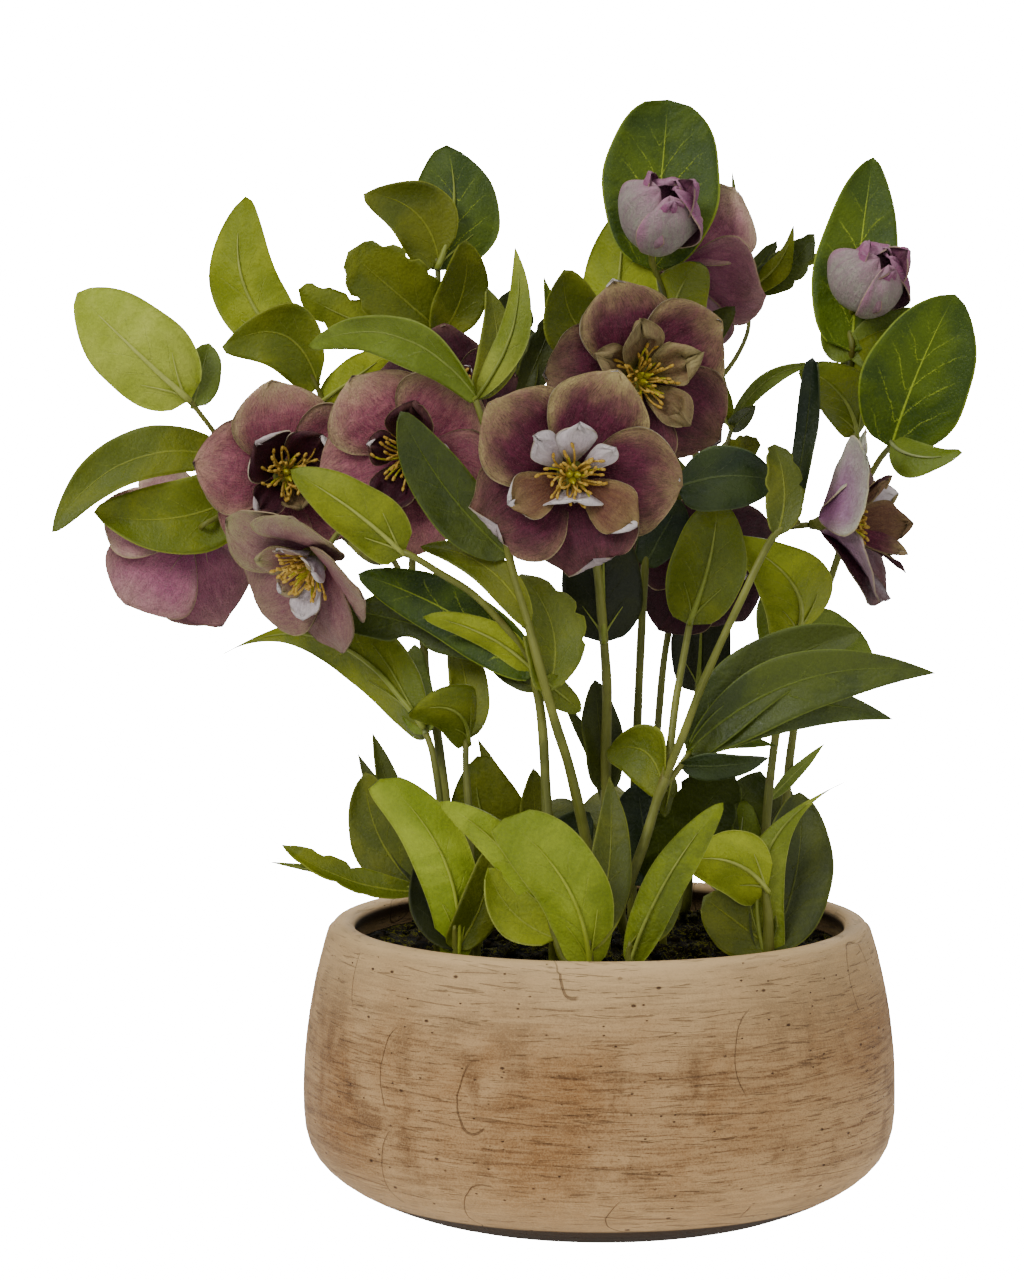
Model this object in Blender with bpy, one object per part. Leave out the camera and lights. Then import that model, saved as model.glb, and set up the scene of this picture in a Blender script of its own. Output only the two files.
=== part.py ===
"""A hellebore in bloom, built together with the low round bowl that it stands in.

The origin is the middle of the bowl's foot, +Z is up and the front of the plant looks along -Y. Places on the
plant are given by the pixel of the reference photograph where they show and their depth in millimetres behind
the bowl's axis. The function seen turns them into metres.
"""

import math
from dataclasses import dataclass

import bmesh
import bpy
from mathutils import Matrix, Vector

MM = 0.001
UP = Vector((0, 0, 1))

# The viewpoint of the photograph
EYE = Vector((-0.0359, -2.0, 0.4442))
AIM = Vector((-0.0359, 0.0, 0.2327))
PIXEL = 0.4075 * MM  # what one pixel spans at the bowl's axis
MIDDLE_X, MIDDLE_Y = 512, 640

# The bowl, in millimetres
POT_HEIGHT = 118
POT_RADIUS = 121.5
POT_WIDEST_AT = 48
FOOT_RADIUS = 77
RIM_OUTER = 110
RIM_INNER = 100
WALL = 10
FLOOR_THICK = 12
POT_SIDES = 28

# The soil, in millimetres
SOIL_TOP = 106
SOIL_LUMP = 2.2
HOLE_DEPTH = 24
GAP = 0.3

# Blades and stalks, in millimetres
SLIM_LEAF = 12
SHORT_LEAF = 62
LEAF_THICK = 0.7
SEPAL_THICK = 0.8
STALK_STEP = 32
SLIM_STALK = 3
FINE_STEP = 2
PROBES = 12  # places tried along each piece of a stalk for what grows there
CLEAR = 5  # how far above the soil a stalk rises straight
SUNK = 1.3  # how far a leaf starts behind its stalk's middle
SCRAP = 3  # the largest loose piece, in cubic millimetres, that fusing may leave behind

# The blooms
ROUNDING = 0.06  # how far a sepal's middle reaches past the corners of its tip
RECEPTACLE = 11  # how far a bloom's back lies behind its middle, in millimetres
SEPALS = 5
SEPAL_START = (3.2, -6.5)  # how far out and how high a sepal begins, from the bloom's middle
SEPAL_WIDE = 1.02  # a sepal's width as a share of its length
INNER_PETALS = 5
PETAL_START = (5.0, -1.6)
PETAL_LONG = 0.48  # an inner petal's length and width as shares of a sepal's length
PETAL_WIDE = 0.38
PETAL_STEEPER = 8  # how much steeper an inner petal rises at its foot and at its tip, in degrees
PETAL_CLOSER = 30
WRAPPED = 4  # the sepals that show round a bud
STAMENS = 6

# Colours
TAN = (0.42, 0.27, 0.16)
EARTH = (0.025, 0.02, 0.012)
LEAF_GREEN = (0.12, 0.17, 0.025)
LIGHT_GREEN = (0.24, 0.30, 0.05)
PLUM = (0.16, 0.045, 0.07)
LILAC = (0.42, 0.28, 0.33)
YELLOW = (0.62, 0.45, 0.08)


@dataclass(frozen=True)
class Outline:
    """How a leaf's width runs along it: where it is widest, how sharp its ends are, how deep its teeth."""

    widest: float
    sharp: float
    teeth: float = 0.0


OVAL = Outline(0.42, 1.1)
BROAD = Outline(0.33, 1.0)
ROUND = Outline(0.5, 0.92)
LANCE = Outline(0.4, 1.6)
STRAP = Outline(0.55, 0.62)
TAPER = Outline(0.21, 2.5)
TOOTHED = Outline(0.52, 0.95, 0.16)
TOOTHED_LANCE = Outline(0.5, 1.5, 0.16)


@dataclass(frozen=True)
class Leaf:
    """A leaf by its foot (pixel), its tip (pixel, pixel, depth) and its form, in millimetres and degrees.

    turn is how far the blade is rolled about its rib: 0 shows the upper face, 180 the underside.
    arch bends the rib towards the upper face, bow bends it sideways and cup lifts the edges.
    """

    foot: tuple
    tip: tuple
    wide: float
    turn: float = 0
    arch: float = 0
    bow: float = 0
    cup: float = 0.15
    form: Outline = OVAL


@dataclass(frozen=True)
class Stalk:
    """A stalk along its route's points (pixel, pixel, depth), with its thickness at both ends in mm."""

    route: tuple
    thick: float = 5.0
    thin: float = 3.4
    bloom: str = ""


@dataclass(frozen=True)
class Shoot:
    """What grows from one root (x, y in mm): stalks, the first of which stands in the soil, and leaves."""

    name: str
    root: tuple
    stalks: tuple
    leaves: tuple = ()


@dataclass(frozen=True)
class Bloom:
    """An open bloom by its middle (pixel, pixel, depth) and the way it faces, in degrees.

    yaw turns it to the photograph's right and pitch up. roll is the direction of its first sepal. lift and
    flare are the slopes of a sepal at its foot and at its tip, and reach is each one's share of that length.
    """

    name: str
    middle: tuple
    yaw: float
    pitch: float
    roll: float
    sepal: float = 40
    lift: float = 42
    flare: float = -6
    reach: tuple = (1, 1, 1, 1, 1)


@dataclass(frozen=True)
class Bud:
    """A closed bud by its middle, the way it faces and its radius in millimetres."""

    name: str
    middle: tuple
    yaw: float
    pitch: float
    radius: float


BLOOMS = (
    Bloom("front", (572, 476, -58), 4, 2, 67, sepal=42, reach=(1.12, 1.06, 1.03, 0.98, 1.04)),
    Bloom("upper", (639, 379, -18), 16, 8, 33, sepal=41),
    Bloom("left_middle", (412, 456, -30), -12, -4, 125, sepal=40),
    Bloom("left_dark", (446, 402, 8), 8, 14, 90, sepal=31),
    Bloom("left", (288, 474, -4), 10, 2, 100, sepal=39, reach=(1, 1, 1, 0.9, 1)),
    Bloom("nodding", (312, 562, -34), -46, -34, 60, sepal=40, lift=52, flare=4),
    Bloom("left_back", (188, 540, 32), -148, -26, 250, sepal=40, lift=50, flare=6),
    Bloom("top", (684, 262, 62), 128, 12, 60, sepal=43, lift=48, flare=4),
    Bloom("right", (836, 522, -8), 84, 6, 172, sepal=42, lift=56, flare=12),
    Bloom("centre_back", (704, 560, 46), 24, -8, 20, sepal=33, lift=34),
)

BUDS = (
    Bud("bud_top", (662, 216, 16), 12, 48, 14.8),
    Bud("bud_right", (871, 281, 34), 30, 44, 14),
)

SHOOTS = (
    Shoot(
        "shoot_left_front",
        (-3, -42),
        (
            Stalk(
                ((598, 915, -36), (588, 850, -42), (570, 770, -50), (556, 725, -54), (543, 680, -57),
                 (527, 620, -54), (510, 560, -51), (500, 500, -52.5), (490, 445, -53), (475, 398, -52)),
                5.0, 2.7,
            ),
        ),
        (
            Leaf((502, 556), (400, 411, -62), 25, bow=-4, arch=-3, form=OVAL),
            Leaf((474, 398), (513, 245, -40), 14, turn=155, bow=-9, form=LANCE),
            Leaf((476, 400), (486, 290, -30), 17, turn=20, bow=7, form=OVAL),
            Leaf((470, 392), (307, 348, -42), 21, turn=-30, arch=4, bow=19, form=OVAL),
            Leaf((548, 690), (522, 572, -34), 27, turn=15, bow=8, form=TOOTHED),
            Leaf((543, 680), (582, 712, -48), 12, turn=170, form=OVAL),
            Leaf((528, 625), (420, 545, -38), 15, turn=12, bow=8, arch=4, form=OVAL),
        ),
    ),
    Shoot(
        "shoot_left_branch",
        (-19, -56),
        (
            Stalk(
                ((554, 915, -50), (549, 850, -48), (546, 790, -46), (543, 735, -45), (539, 700, -45),
                 (533, 668, -45)),
                4.6, 3.8,
            ),
            Stalk(
                ((536, 690, -45), (526, 655, -46), (480, 600, -51), (440, 573, -56), (405, 553, -58),
                 (372, 546, -44)),
                3.2, 2.4, "nodding",
            ),
            Stalk(((405, 553, -58), (376, 562, -32), (352, 545, 0), (322, 508, 22)), 2.6, 2.3, "left"),
            Stalk(
                ((348, 540, 4), (312, 512, 30), (258, 482, 30), (232, 455, 28), (205, 420, 18), (188, 398, 14)),
                2.6, 2.1,
            ),
            Stalk(((312, 512, 30), (262, 500, 40)), 2.4, 2.1, "left_back"),
        ),
        (
            Leaf((400, 552), (290, 471, -64), 25, turn=168, bow=-3, arch=-4, form=BROAD),
            Leaf((535, 672), (360, 574, -26), 25, turn=-8, bow=5, arch=3, form=OVAL),
            Leaf((534, 668), (262, 602, -5), 16, turn=-14, bow=6, form=OVAL),
            Leaf((534, 670), (423, 617, -50), 13, turn=160, bow=-5, form=OVAL),
            Leaf((537, 690), (490, 669, -40), 7, turn=0, form=LANCE),
            Leaf((189, 399), (77, 292, 6), 39, turn=172, arch=-5, form=OVAL),
            Leaf((192, 404), (210, 342, 26), 17, turn=10, form=OVAL),
            Leaf((236, 462), (52, 532, 4), 24, turn=22, arch=6, bow=15, form=OVAL),
            Leaf((258, 484), (94, 512, 16), 33, turn=8, bow=-9, arch=4, form=OVAL),
        ),
    ),
    Shoot(
        "shoot_front",
        (2, -8),
        (
            Stalk(
                ((606, 905, -6), (606, 850, -6), (606, 750, -10), (607, 690, -14), (603, 630, -22),
                 (596, 560, -34), (584, 505, -42)),
                5.0, 3.2, "front",
            ),
        ),
        (
            Leaf((604, 640), (604, 520, -24), 34, turn=176, arch=-2, form=OVAL),
            Leaf((606, 790), (594, 680, -2), 18, turn=20, form=OVAL),
            Leaf((606, 812), (553, 688, 12), 7, turn=40, bow=4, form=LANCE),
        ),
    ),
    Shoot(
        "shoot_upper",
        (15, 12),
        (
            Stalk(
                ((632, 905, 12), (634, 800, 12), (637, 730, 10), (641, 640, 6), (645, 565, 2),
                 (650, 480, 4), (655, 420, 2)),
                4.1, 2.9, "upper",
            ),
            Stalk(((647, 525, 2), (662, 498, -12), (680, 487, -24)), 2.6, 2.3),
        ),
        (
            Leaf((645, 563), (681, 500, -6), 18, turn=10, form=TOOTHED),
            Leaf((680, 487), (777, 482, -20), 27, turn=6, arch=5, bow=-4, form=OVAL),
            Leaf((650, 470), (596, 420, 66), 26, turn=30, form=OVAL),
        ),
    ),
    Shoot(
        "shoot_centre_back",
        (24, 30),
        (
            Stalk(
                ((645, 900, 30), (651, 800, 32), (657, 735, 34), (664, 660, 48), (674, 605, 62),
                 (682, 575, 67)),
                3.8, 2.7, "centre_back",
            ),
        ),
    ),
    Shoot(
        "shoot_right",
        (14, -46),
        (
            Stalk(
                ((620, 915, -44), (629, 885, -44), (645, 840, -43), (657, 800, -42), (666, 775, -42),
                 (671, 740, -38), (676, 700, -34), (683, 660, -30), (690, 622, -26)),
                4.9, 2.7,
            ),
            Stalk(
                ((664, 782, -42), (683, 735, -47), (700, 690, -50), (722, 640, -52), (742, 598, -52),
                 (760, 560, -50), (776, 534, -45), (797, 522, -32)),
                3.5, 2.6, "right",
            ),
            Stalk(((661, 790, -42), (676, 772, -40), (690, 752, -36)), 3.0, 2.4),
        ),
        (
            Leaf((690, 622), (718, 498, -16), 32, turn=172, arch=-4, bow=-3, form=OVAL),
            Leaf((690, 750), (862, 632, -40), 27, turn=-8, arch=5, bow=-8, form=OVAL),
            Leaf((690, 750), (936, 673, -46), 26, turn=4, arch=5, bow=-14, form=LANCE),
            Leaf((690, 751), (893, 719, -38), 21, turn=6, arch=4, bow=-12, form=LANCE),
            Leaf((682, 764), (768, 757, -30), 13, turn=30, arch=4, form=LANCE),
            Leaf((690, 755), (776, 745, -12), 9, turn=-30, bow=-4, form=LANCE),
            Leaf((668, 778), (664, 816, -34), 9, turn=150, form=OVAL),
            Leaf((790, 525), (815, 357, -22), 10, turn=-20, bow=1, form=STRAP),
            Leaf((777, 534), (774, 444, -30), 17, turn=20, bow=4, form=TOOTHED),
            Leaf((660, 790), (606, 752, -22), 24, turn=-12, bow=9, form=OVAL),
        ),
    ),
    Shoot(
        "shoot_right_left_stem",
        (63, 6),
        (
            Stalk(
                ((758, 900, 6), (764, 850, 8), (769, 790, 10), (775, 740, 12), (784, 680, 14),
                 (793, 635, 12)),
                4.1, 3.2,
            ),
        ),
        (
            Leaf((793, 632), (727, 538, -18), 32, turn=165, arch=-6, bow=-14, form=BROAD),
            Leaf((786, 668), (765, 592, 28), 17, turn=14, form=OVAL),
            Leaf((790, 650), (872, 655, 26), 19, turn=-16, bow=-8, form=OVAL),
            Leaf((766, 800), (823, 744, 34), 6, turn=20, form=LANCE),
        ),
    ),
    Shoot(
        "shoot_right_tall",
        (72, 22),
        (
            Stalk(
                ((778, 900, 22), (784, 830, 23), (788, 775, 24), (793, 735, 26), (800, 690, 30),
                 (812, 640, 36), (832, 575, 42), (856, 505, 42), (878, 462, 34), (894, 443, 22)),
                4.1, 2.6,
            ),
            Stalk(((856, 505, 42), (856, 440, 54), (850, 385, 52), (852, 345, 44)), 2.9, 2.4, "bud_right"),
        ),
        (
            Leaf((894, 445), (955, 293, 10), 46, turn=6, bow=-2, arch=3, form=OVAL),
            Leaf((896, 443), (963, 453, 0), 17, turn=150, bow=-7, arch=-3, form=OVAL),
            Leaf((852, 350), (873, 160, 62), 37, turn=0, bow=-1, form=BROAD),
            Leaf((851, 356), (823, 327, 48), 15, turn=10, form=OVAL),
            Leaf((851, 356), (925, 312, 40), 21, turn=-12, form=OVAL),
            Leaf((852, 400), (905, 334, 26), 32, turn=165, form=BROAD),
            Leaf((856, 436), (800, 366, 34), 24, turn=170, bow=-6, form=OVAL),
            Leaf((862, 492), (850, 560, 92), 26, turn=160, form=OVAL),
        ),
    ),
    Shoot(
        "shoot_back",
        (36, 62),
        (
            Stalk(
                ((687, 900, 63), (690, 830, 62), (694, 760, 60), (699, 690, 62), (703, 630, 72),
                 (702, 560, 88), (698, 480, 84), (688, 400, 72), (676, 340, 62), (664, 292, 44)),
                4.3, 2.7, "bud_top",
            ),
            Stalk(((676, 340, 62), (668, 300, 76), (662, 275, 76)), 2.4, 2.3, "top"),
            Stalk(((690, 410, 74), (645, 368, 50), (606, 350, 38), (560, 382, 34), (520, 402, 32)), 2.6, 2.0),
            Stalk(((688, 400, 72), (724, 374, 70), (748, 330, 78), (743, 290, 88)), 2.3, 1.8),
            Stalk(((699, 490, 84), (722, 455, 50), (733, 425, 28)), 2.4, 2.0),
        ),
        (
            Leaf((520, 402), (510, 290, 34), 20, turn=8, form=TOOTHED),
            Leaf((522, 402), (556, 314, 30), 15, turn=12, form=TOOTHED),
            Leaf((606, 350), (563, 269, 18), 29, turn=10, bow=-6, form=OVAL),
            Leaf((585, 362), (544, 277, 34), 9, turn=30, bow=-3, form=LANCE),
            Leaf((612, 352), (626, 206, 40), 35, turn=168, form=BROAD),
            Leaf((651, 268), (668, 101, 50), 50, turn=0, form=ROUND),
            Leaf((680, 352), (700, 262, 20), 26, turn=165, bow=6, form=OVAL),
            Leaf((686, 392), (736, 306, 44), 15, turn=165, bow=5, form=OVAL),
            Leaf((742, 288), (776, 241, 92), 9, turn=12, form=TOOTHED_LANCE),
            Leaf((742, 289), (815, 234, 84), 17, turn=-8, bow=4, form=TOOTHED_LANCE),
            Leaf((735, 291), (794, 226, 78), 11, turn=150, bow=-6, form=LANCE),
            Leaf((738, 291), (836, 256, 88), 9, turn=150, bow=4, form=LANCE),
            Leaf((732, 295), (732, 171, 92), 5, form=LANCE),
            Leaf((733, 428), (822, 362, 22), 8, turn=25, bow=-8, form=LANCE),
            Leaf((733, 427), (722, 368, 16), 9, turn=160, bow=3, form=LANCE),
            Leaf((732, 430), (757, 404, 12), 8, form=LANCE),
            Leaf((722, 455), (762, 445, 34), 13, turn=-14, form=TOOTHED),
            Leaf((697, 690), (704, 590, 70), 27, turn=165, form=OVAL),
            Leaf((700, 520), (640, 450, 112), 30, turn=150, arch=-8, form=OVAL),
        ),
    ),
    Shoot(
        "shoot_left_tall",
        (-50, -12),
        (
            Stalk(
                ((456, 900, -14), (448, 820, -14), (441, 760, -14), (434, 715, -10), (426, 675, -4),
                 (423, 640, 2), (413, 595, 10), (414, 540, 22), (425, 490, 34), (438, 440, 42),
                 (442, 385, 40), (440, 335, 38), (438, 275, 42), (437, 258, 42)),
                4.3, 2.4,
            ),
            Stalk(((413, 595, 10), (372, 520, 28), (338, 440, 32), (316, 385, 28), (296, 350, 28)), 2.7, 2.1),
            Stalk(((414, 540, 22), (409, 512, 4), (406, 488, -9)), 2.6, 2.3, "left_middle"),
            Stalk(((438, 440, 42), (445, 425, 36)), 2.4, 2.3, "left_dark"),
        ),
        (
            Leaf((440, 335), (298, 290, 32), 19, turn=168, bow=5, form=TOOTHED),
            Leaf((439, 330), (349, 252, 22), 32, turn=6, form=TOOTHED),
            Leaf((438, 262), (363, 194, 34), 30, turn=8, bow=9, form=BROAD),
            Leaf((438, 268), (447, 146, 56), 40, turn=172, bow=-5, form=OVAL),
            Leaf((440, 334), (465, 239, 24), 23, turn=20, bow=5, form=OVAL),
            Leaf((296, 350), (245, 196, 30), 31, turn=170, bow=12, form=OVAL),
            Leaf((316, 384), (222, 347, 16), 30, bow=14, form=OVAL),
            Leaf((324, 402), (392, 352, 16), 18, turn=170, form=OVAL),
            Leaf((424, 640), (449, 634, -6), 9, turn=20, form=LANCE),
            Leaf((430, 470), (380, 470, 104), 30, turn=150, arch=-8, form=OVAL),
        ),
    ),
    Shoot(
        "shoot_left_short",
        (-53, -34),
        (
            Stalk(
                ((450, 895, -36), (441, 810, -36), (433, 755, -34), (424, 728, -32)),
                3.5, 2.7,
            ),
        ),
        (
            Leaf((423, 728), (217, 656, 42), 32, turn=165, bow=-22, form=TAPER),
            Leaf((425, 730), (414, 642, -2), 15, turn=170, bow=2, form=OVAL),
        ),
    ),
    Shoot(
        "shoot_left_folded",
        (-50, -44),
        (
            Stalk(((472, 900, -44), (470, 830, -43), (466, 770, -40), (466, 738, -38)), 3.3, 2.7),
        ),
        (
            Leaf((466, 738), (453, 640, -16), 17, turn=10, bow=3, cup=0.35, form=OVAL),
            Leaf((466, 742), (408, 714, -58), 23, turn=165, bow=-10, form=OVAL),
        ),
    ),
    Shoot(
        "leaves_left",
        (-66, -20),
        (Stalk(((436, 925, -14), (430, 903, -28), (420, 888, -36)), 3.3, 2.4),),
        (
            Leaf((424, 888), (282, 844, -44), 13, turn=30, bow=-6, cup=0.3, form=TOOTHED_LANCE),
            Leaf((412, 876), (270, 862, -34), 5, turn=160, form=LANCE),
            Leaf((420, 882), (365, 772, -34), 25, turn=-10, bow=-6, form=OVAL),
            Leaf((426, 890), (371, 735, -18), 14, turn=15, form=LANCE),
            Leaf((424, 886), (358, 753, -24), 11, turn=10, form=LANCE),
        ),
    ),
    Shoot(
        "leaves_left_front",
        (-58, -63),
        (Stalk(((455, 940, -53), (454, 925, -56)), 9.0, 7.0),),
        (
            Leaf((455, 962), (380, 777, -66), 24, turn=176, bow=-11, form=STRAP),
            Leaf((455, 950), (424, 852, -42), 17, turn=20, bow=-5, form=OVAL),
            Leaf((455, 950), (490, 850, -60), 19, turn=14, bow=4, form=OVAL),
        ),
    ),
    Shoot(
        "leaves_front",
        (-6, -84),
        (
            Stalk(((590, 955, -72), (589, 940, -74)), 9.0, 7.0),
            Stalk(((588, 966, -71), (566, 962, -70), (557, 945, -70), (548, 912, -70)), 3.0, 2.6),
        ),
        (
            Leaf((590, 968), (504, 820, -86), 30, turn=174, bow=-9, form=STRAP),
            Leaf((549, 918), (440, 800, -76), 17, turn=168, bow=-5, form=OVAL),
            Leaf((553, 935), (487, 868, -70), 20, turn=10, bow=-5, form=OVAL),
            Leaf((590, 950), (608, 779, -44), 18, turn=8, bow=4, form=LANCE),
        ),
    ),
    Shoot(
        "leaves_middle_front",
        (11, -82),
        (Stalk(((629, 955, -70), (630, 942, -72)), 8.0, 6.0),),
        (
            Leaf((629, 966), (722, 803, -84), 17, turn=172, bow=4, form=OVAL),
            Leaf((629, 945), (684, 868, -60), 10, turn=20, bow=5, form=LANCE),
        ),
    ),
    Shoot(
        "leaves_right_front",
        (66, -58),
        (Stalk(((768, 945, -46), (768, 915, -48), (764, 885, -50)), 8.0, 4.0),),
        (
            Leaf((768, 957), (846, 781, -58), 23, turn=170, bow=17, form=TAPER),
            Leaf((765, 890), (680, 862, -62), 28, turn=165, bow=-7, form=BROAD),
            Leaf((767, 945), (703, 897, -44), 28, turn=10, form=OVAL),
            Leaf((768, 950), (800, 792, -26), 32, turn=6, bow=5, form=OVAL),
        ),
    ),
    Shoot(
        "leaves_right_back",
        (54, 34),
        (Stalk(((733, 900, 34), (736, 880, 32)), 3.3, 2.7),),
        (
            Leaf((736, 882), (745, 800, 26), 19, turn=165, form=OVAL),
            Leaf((736, 880), (790, 788, 46), 22, turn=10, form=OVAL),
            Leaf((736, 880), (760, 770, 26), 26, turn=10, bow=-6, form=OVAL),
            Leaf((735, 890), (760, 850, 96), 26, turn=160, form=OVAL),
        ),
    ),
    Shoot(
        "leaves_middle",
        (26, 0),
        (Stalk(((652, 905, 0), (652, 880, 0)), 3.3, 2.7),),
        (
            Leaf((652, 885), (637, 782, 2), 30, turn=6, form=OVAL),
            Leaf((650, 880), (732, 775, -22), 31, turn=4, bow=-1, form=TOOTHED),
        ),
    ),
    Shoot(
        "leaves_middle_left",
        (-26, -8),
        (Stalk(((540, 905, -8), (538, 880, -8)), 3.3, 2.7),),
        (
            Leaf((538, 880), (477, 756, -18), 36, turn=165, bow=9, form=OVAL),
            Leaf((538, 880), (533, 768, -14), 16, turn=30, form=OVAL),
            Leaf((539, 880), (590, 812, 10), 22, turn=8, form=OVAL),
            Leaf((538, 878), (476, 738, 4), 12, turn=170, form=LANCE),
        ),
    ),
    Shoot(
        "leaves_back",
        (-6, 66),
        (Stalk(((592, 895, 67), (592, 870, 70)), 3.5, 2.9),),
        (
            Leaf((592, 878), (548, 800, 104), 30, turn=160, arch=-6, form=OVAL),
            Leaf((592, 874), (618, 790, 108), 30, turn=165, arch=-6, form=OVAL),
            Leaf((592, 880), (512, 850, 92), 26, turn=160, arch=-4, form=OVAL),
        ),
    ),
)


def viewpoint():
    """The photograph's forward, right and up directions, and the distance to the bowl's axis."""
    ahead = AIM - EYE
    forward = ahead.normalized()
    right = forward.cross(UP).normalized()
    return forward, right, right.cross(forward), ahead.length


def seen(x, y, depth):
    """The point that the photograph shows at pixel x, y, depth millimetres behind the bowl's axis."""
    forward, right, up, reach = viewpoint()
    ray = forward * reach + right * (x - MIDDLE_X) * PIXEL + up * (MIDDLE_Y - y) * PIXEL
    return EYE + ray * (1 + depth * MM / reach)


def pixel_of(point):
    """The pixel at which the photograph shows a point."""
    forward, right, up, reach = viewpoint()
    ray = (point - EYE) * (reach / (point - EYE).dot(forward))
    return Vector((MIDDLE_X + ray.dot(right) / PIXEL, MIDDLE_Y - ray.dot(up) / PIXEL))


def facing(yaw, pitch):
    """The direction that is yaw degrees right of the viewer and pitch degrees up."""
    yaw, pitch = math.radians(yaw), math.radians(pitch)
    return Vector((math.sin(yaw) * math.cos(pitch), -math.cos(yaw) * math.cos(pitch), math.sin(pitch)))


def upright(middle, direction):
    """A matrix that carries +Z to direction and +Y as near to upwards as it can be."""
    up = (UP - direction * UP.dot(direction)).normalized()
    side = up.cross(direction)
    turned = Matrix((side, up, direction)).transposed().to_4x4()
    return Matrix.Translation(middle) @ turned


def smooth(points):
    """Points some 2 mm apart on a smooth curve through the given ones."""
    ends = [points[0] * 2 - points[1], *points, points[-1] * 2 - points[-2]]
    curve = []
    for before, start, end, after in zip(ends, ends[1:], ends[2:], ends[3:]):
        pieces = max(1, round((end - start).length / (FINE_STEP * MM)))
        for i in range(pieces):
            t = i / pieces
            curve.append(
                0.5 * (2 * start + (end - before) * t + (2 * before - 5 * start + 4 * end - after) * t**2
                       + (3 * start - before - 3 * end + after) * t**3)
            )
    return [*curve, points[-1]]


def thinned(curve, step):
    """Every point of a finely drawn curve that lies about step millimetres on from the last one kept."""
    pieces = max(1, round(len(curve) * FINE_STEP / step))
    return [curve[round(i * (len(curve) - 1) / pieces)] for i in range(pieces + 1)]


def finish_mesh(work, name):
    """A new mesh from a bmesh, with its faces triangulated and pointing out."""
    bmesh.ops.triangulate(work, faces=work.faces)
    bmesh.ops.recalc_face_normals(work, faces=work.faces)
    mesh = bpy.data.meshes.new(name)
    work.to_mesh(mesh)
    work.free()
    return mesh


def sheet(place, across, along, thick):
    """A thin curved blade: a grid whose point at (-1..1, 0..1) lies at place(u, t), given its thickness."""
    work = bmesh.new()
    bmesh.ops.create_grid(work, x_segments=across, y_segments=along, size=1)
    bmesh.ops.triangulate(work, faces=work.faces)
    for vertex in work.verts:
        vertex.co = place(vertex.co.x, (vertex.co.y + 1) / 2)
    bmesh.ops.remove_doubles(work, verts=work.verts, dist=0.02 * MM)
    work.normal_update()
    bmesh.ops.solidify(work, geom=work.faces, thickness=thick * MM)
    return finish_mesh(work, "blade")


def tube(points, thick, thin):
    """A round stalk with closed ends through the points, in metres, from thick to thin in millimetres."""
    curve = bpy.data.curves.new("stalk", "CURVE")
    curve.dimensions = "3D"
    curve.bevel_depth = 0.5 * MM
    curve.bevel_resolution = 1 if thick > SLIM_STALK else 0
    curve.use_fill_caps = True
    line = curve.splines.new("POLY")
    line.points.add(len(points) - 1)
    for i, (place, knot) in enumerate(zip(points, line.points)):
        knot.co = (*place, 1)
        knot.radius = thick + (thin - thick) * i / (len(points) - 1)
    drawn = bpy.data.objects.new("stalk", curve)
    bpy.context.scene.collection.objects.link(drawn)
    work = bmesh.new()
    work.from_mesh(drawn.evaluated_get(bpy.context.evaluated_depsgraph_get()).to_mesh())
    bpy.data.objects.remove(drawn)
    bmesh.ops.remove_doubles(work, verts=work.verts, dist=0.01 * MM)
    return finish_mesh(work, "stalk")


def rod(start, end, sides, radius, end_radius):
    """A straight round piece from start to end, in metres, with its radii in millimetres."""
    work = bmesh.new()
    along = end - start
    turn = along.to_track_quat("Z", "Y").to_matrix().to_4x4()
    bmesh.ops.create_cone(
        work, cap_ends=True, segments=sides, radius1=radius * MM, radius2=end_radius * MM,
        depth=along.length, matrix=Matrix.Translation((start + end) / 2) @ turn,
    )
    return finish_mesh(work, "rod")


def paint(body, colour, roughness):
    """Gives a body its own material."""
    material = bpy.data.materials.new(body.name)
    material.use_nodes = True
    shader = material.node_tree.nodes["Principled BSDF"]
    shader.inputs["Base Color"].default_value = (*colour, 1)
    shader.inputs["Roughness"].default_value = roughness
    material.diffuse_color = (*colour, 1)
    body.data.materials.append(material)


def single(name, mesh, colour, roughness):
    """One object in the scene from one mesh."""
    mesh.materials.clear()
    body = bpy.data.objects.new(name, mesh)
    bpy.context.scene.collection.objects.link(body)
    paint(body, colour, roughness)
    return body


def apply_modifiers(body):
    """Replaces a body's mesh by its evaluated one and drops its modifiers."""
    solid = bpy.data.meshes.new_from_object(body.evaluated_get(bpy.context.evaluated_depsgraph_get()))
    body.modifiers.clear()
    body.data = solid


def shells_of(work):
    """The connected sets of faces of a bmesh."""
    left = set(work.faces)
    shells = []
    while left:
        reached = [left.pop()]
        shell = []
        while reached:
            face = reached.pop()
            shell.append(face)
            beside = {other for edge in face.edges for other in edge.link_faces} & left
            left -= beside
            reached.extend(beside)
        shells.append(shell)
    return shells


def keep_largest(body):
    """Drops the hollows that fusing sealed and the scraps that it cut loose."""
    work = bmesh.new()
    work.from_mesh(body.data)
    shells = sorted(shells_of(work), key=len)
    for shell in shells[:-1]:
        volume = sum(face.calc_center_median().dot(face.normal) * face.calc_area() for face in shell) / 3
        if volume > SCRAP * MM**3:
            raise ValueError(f"{body.name} has a loose piece of {volume / MM**3:.1f} cubic millimetres")
        bmesh.ops.delete(work, geom=shell, context="FACES")
    work.to_mesh(body.data)
    work.free()


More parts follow.
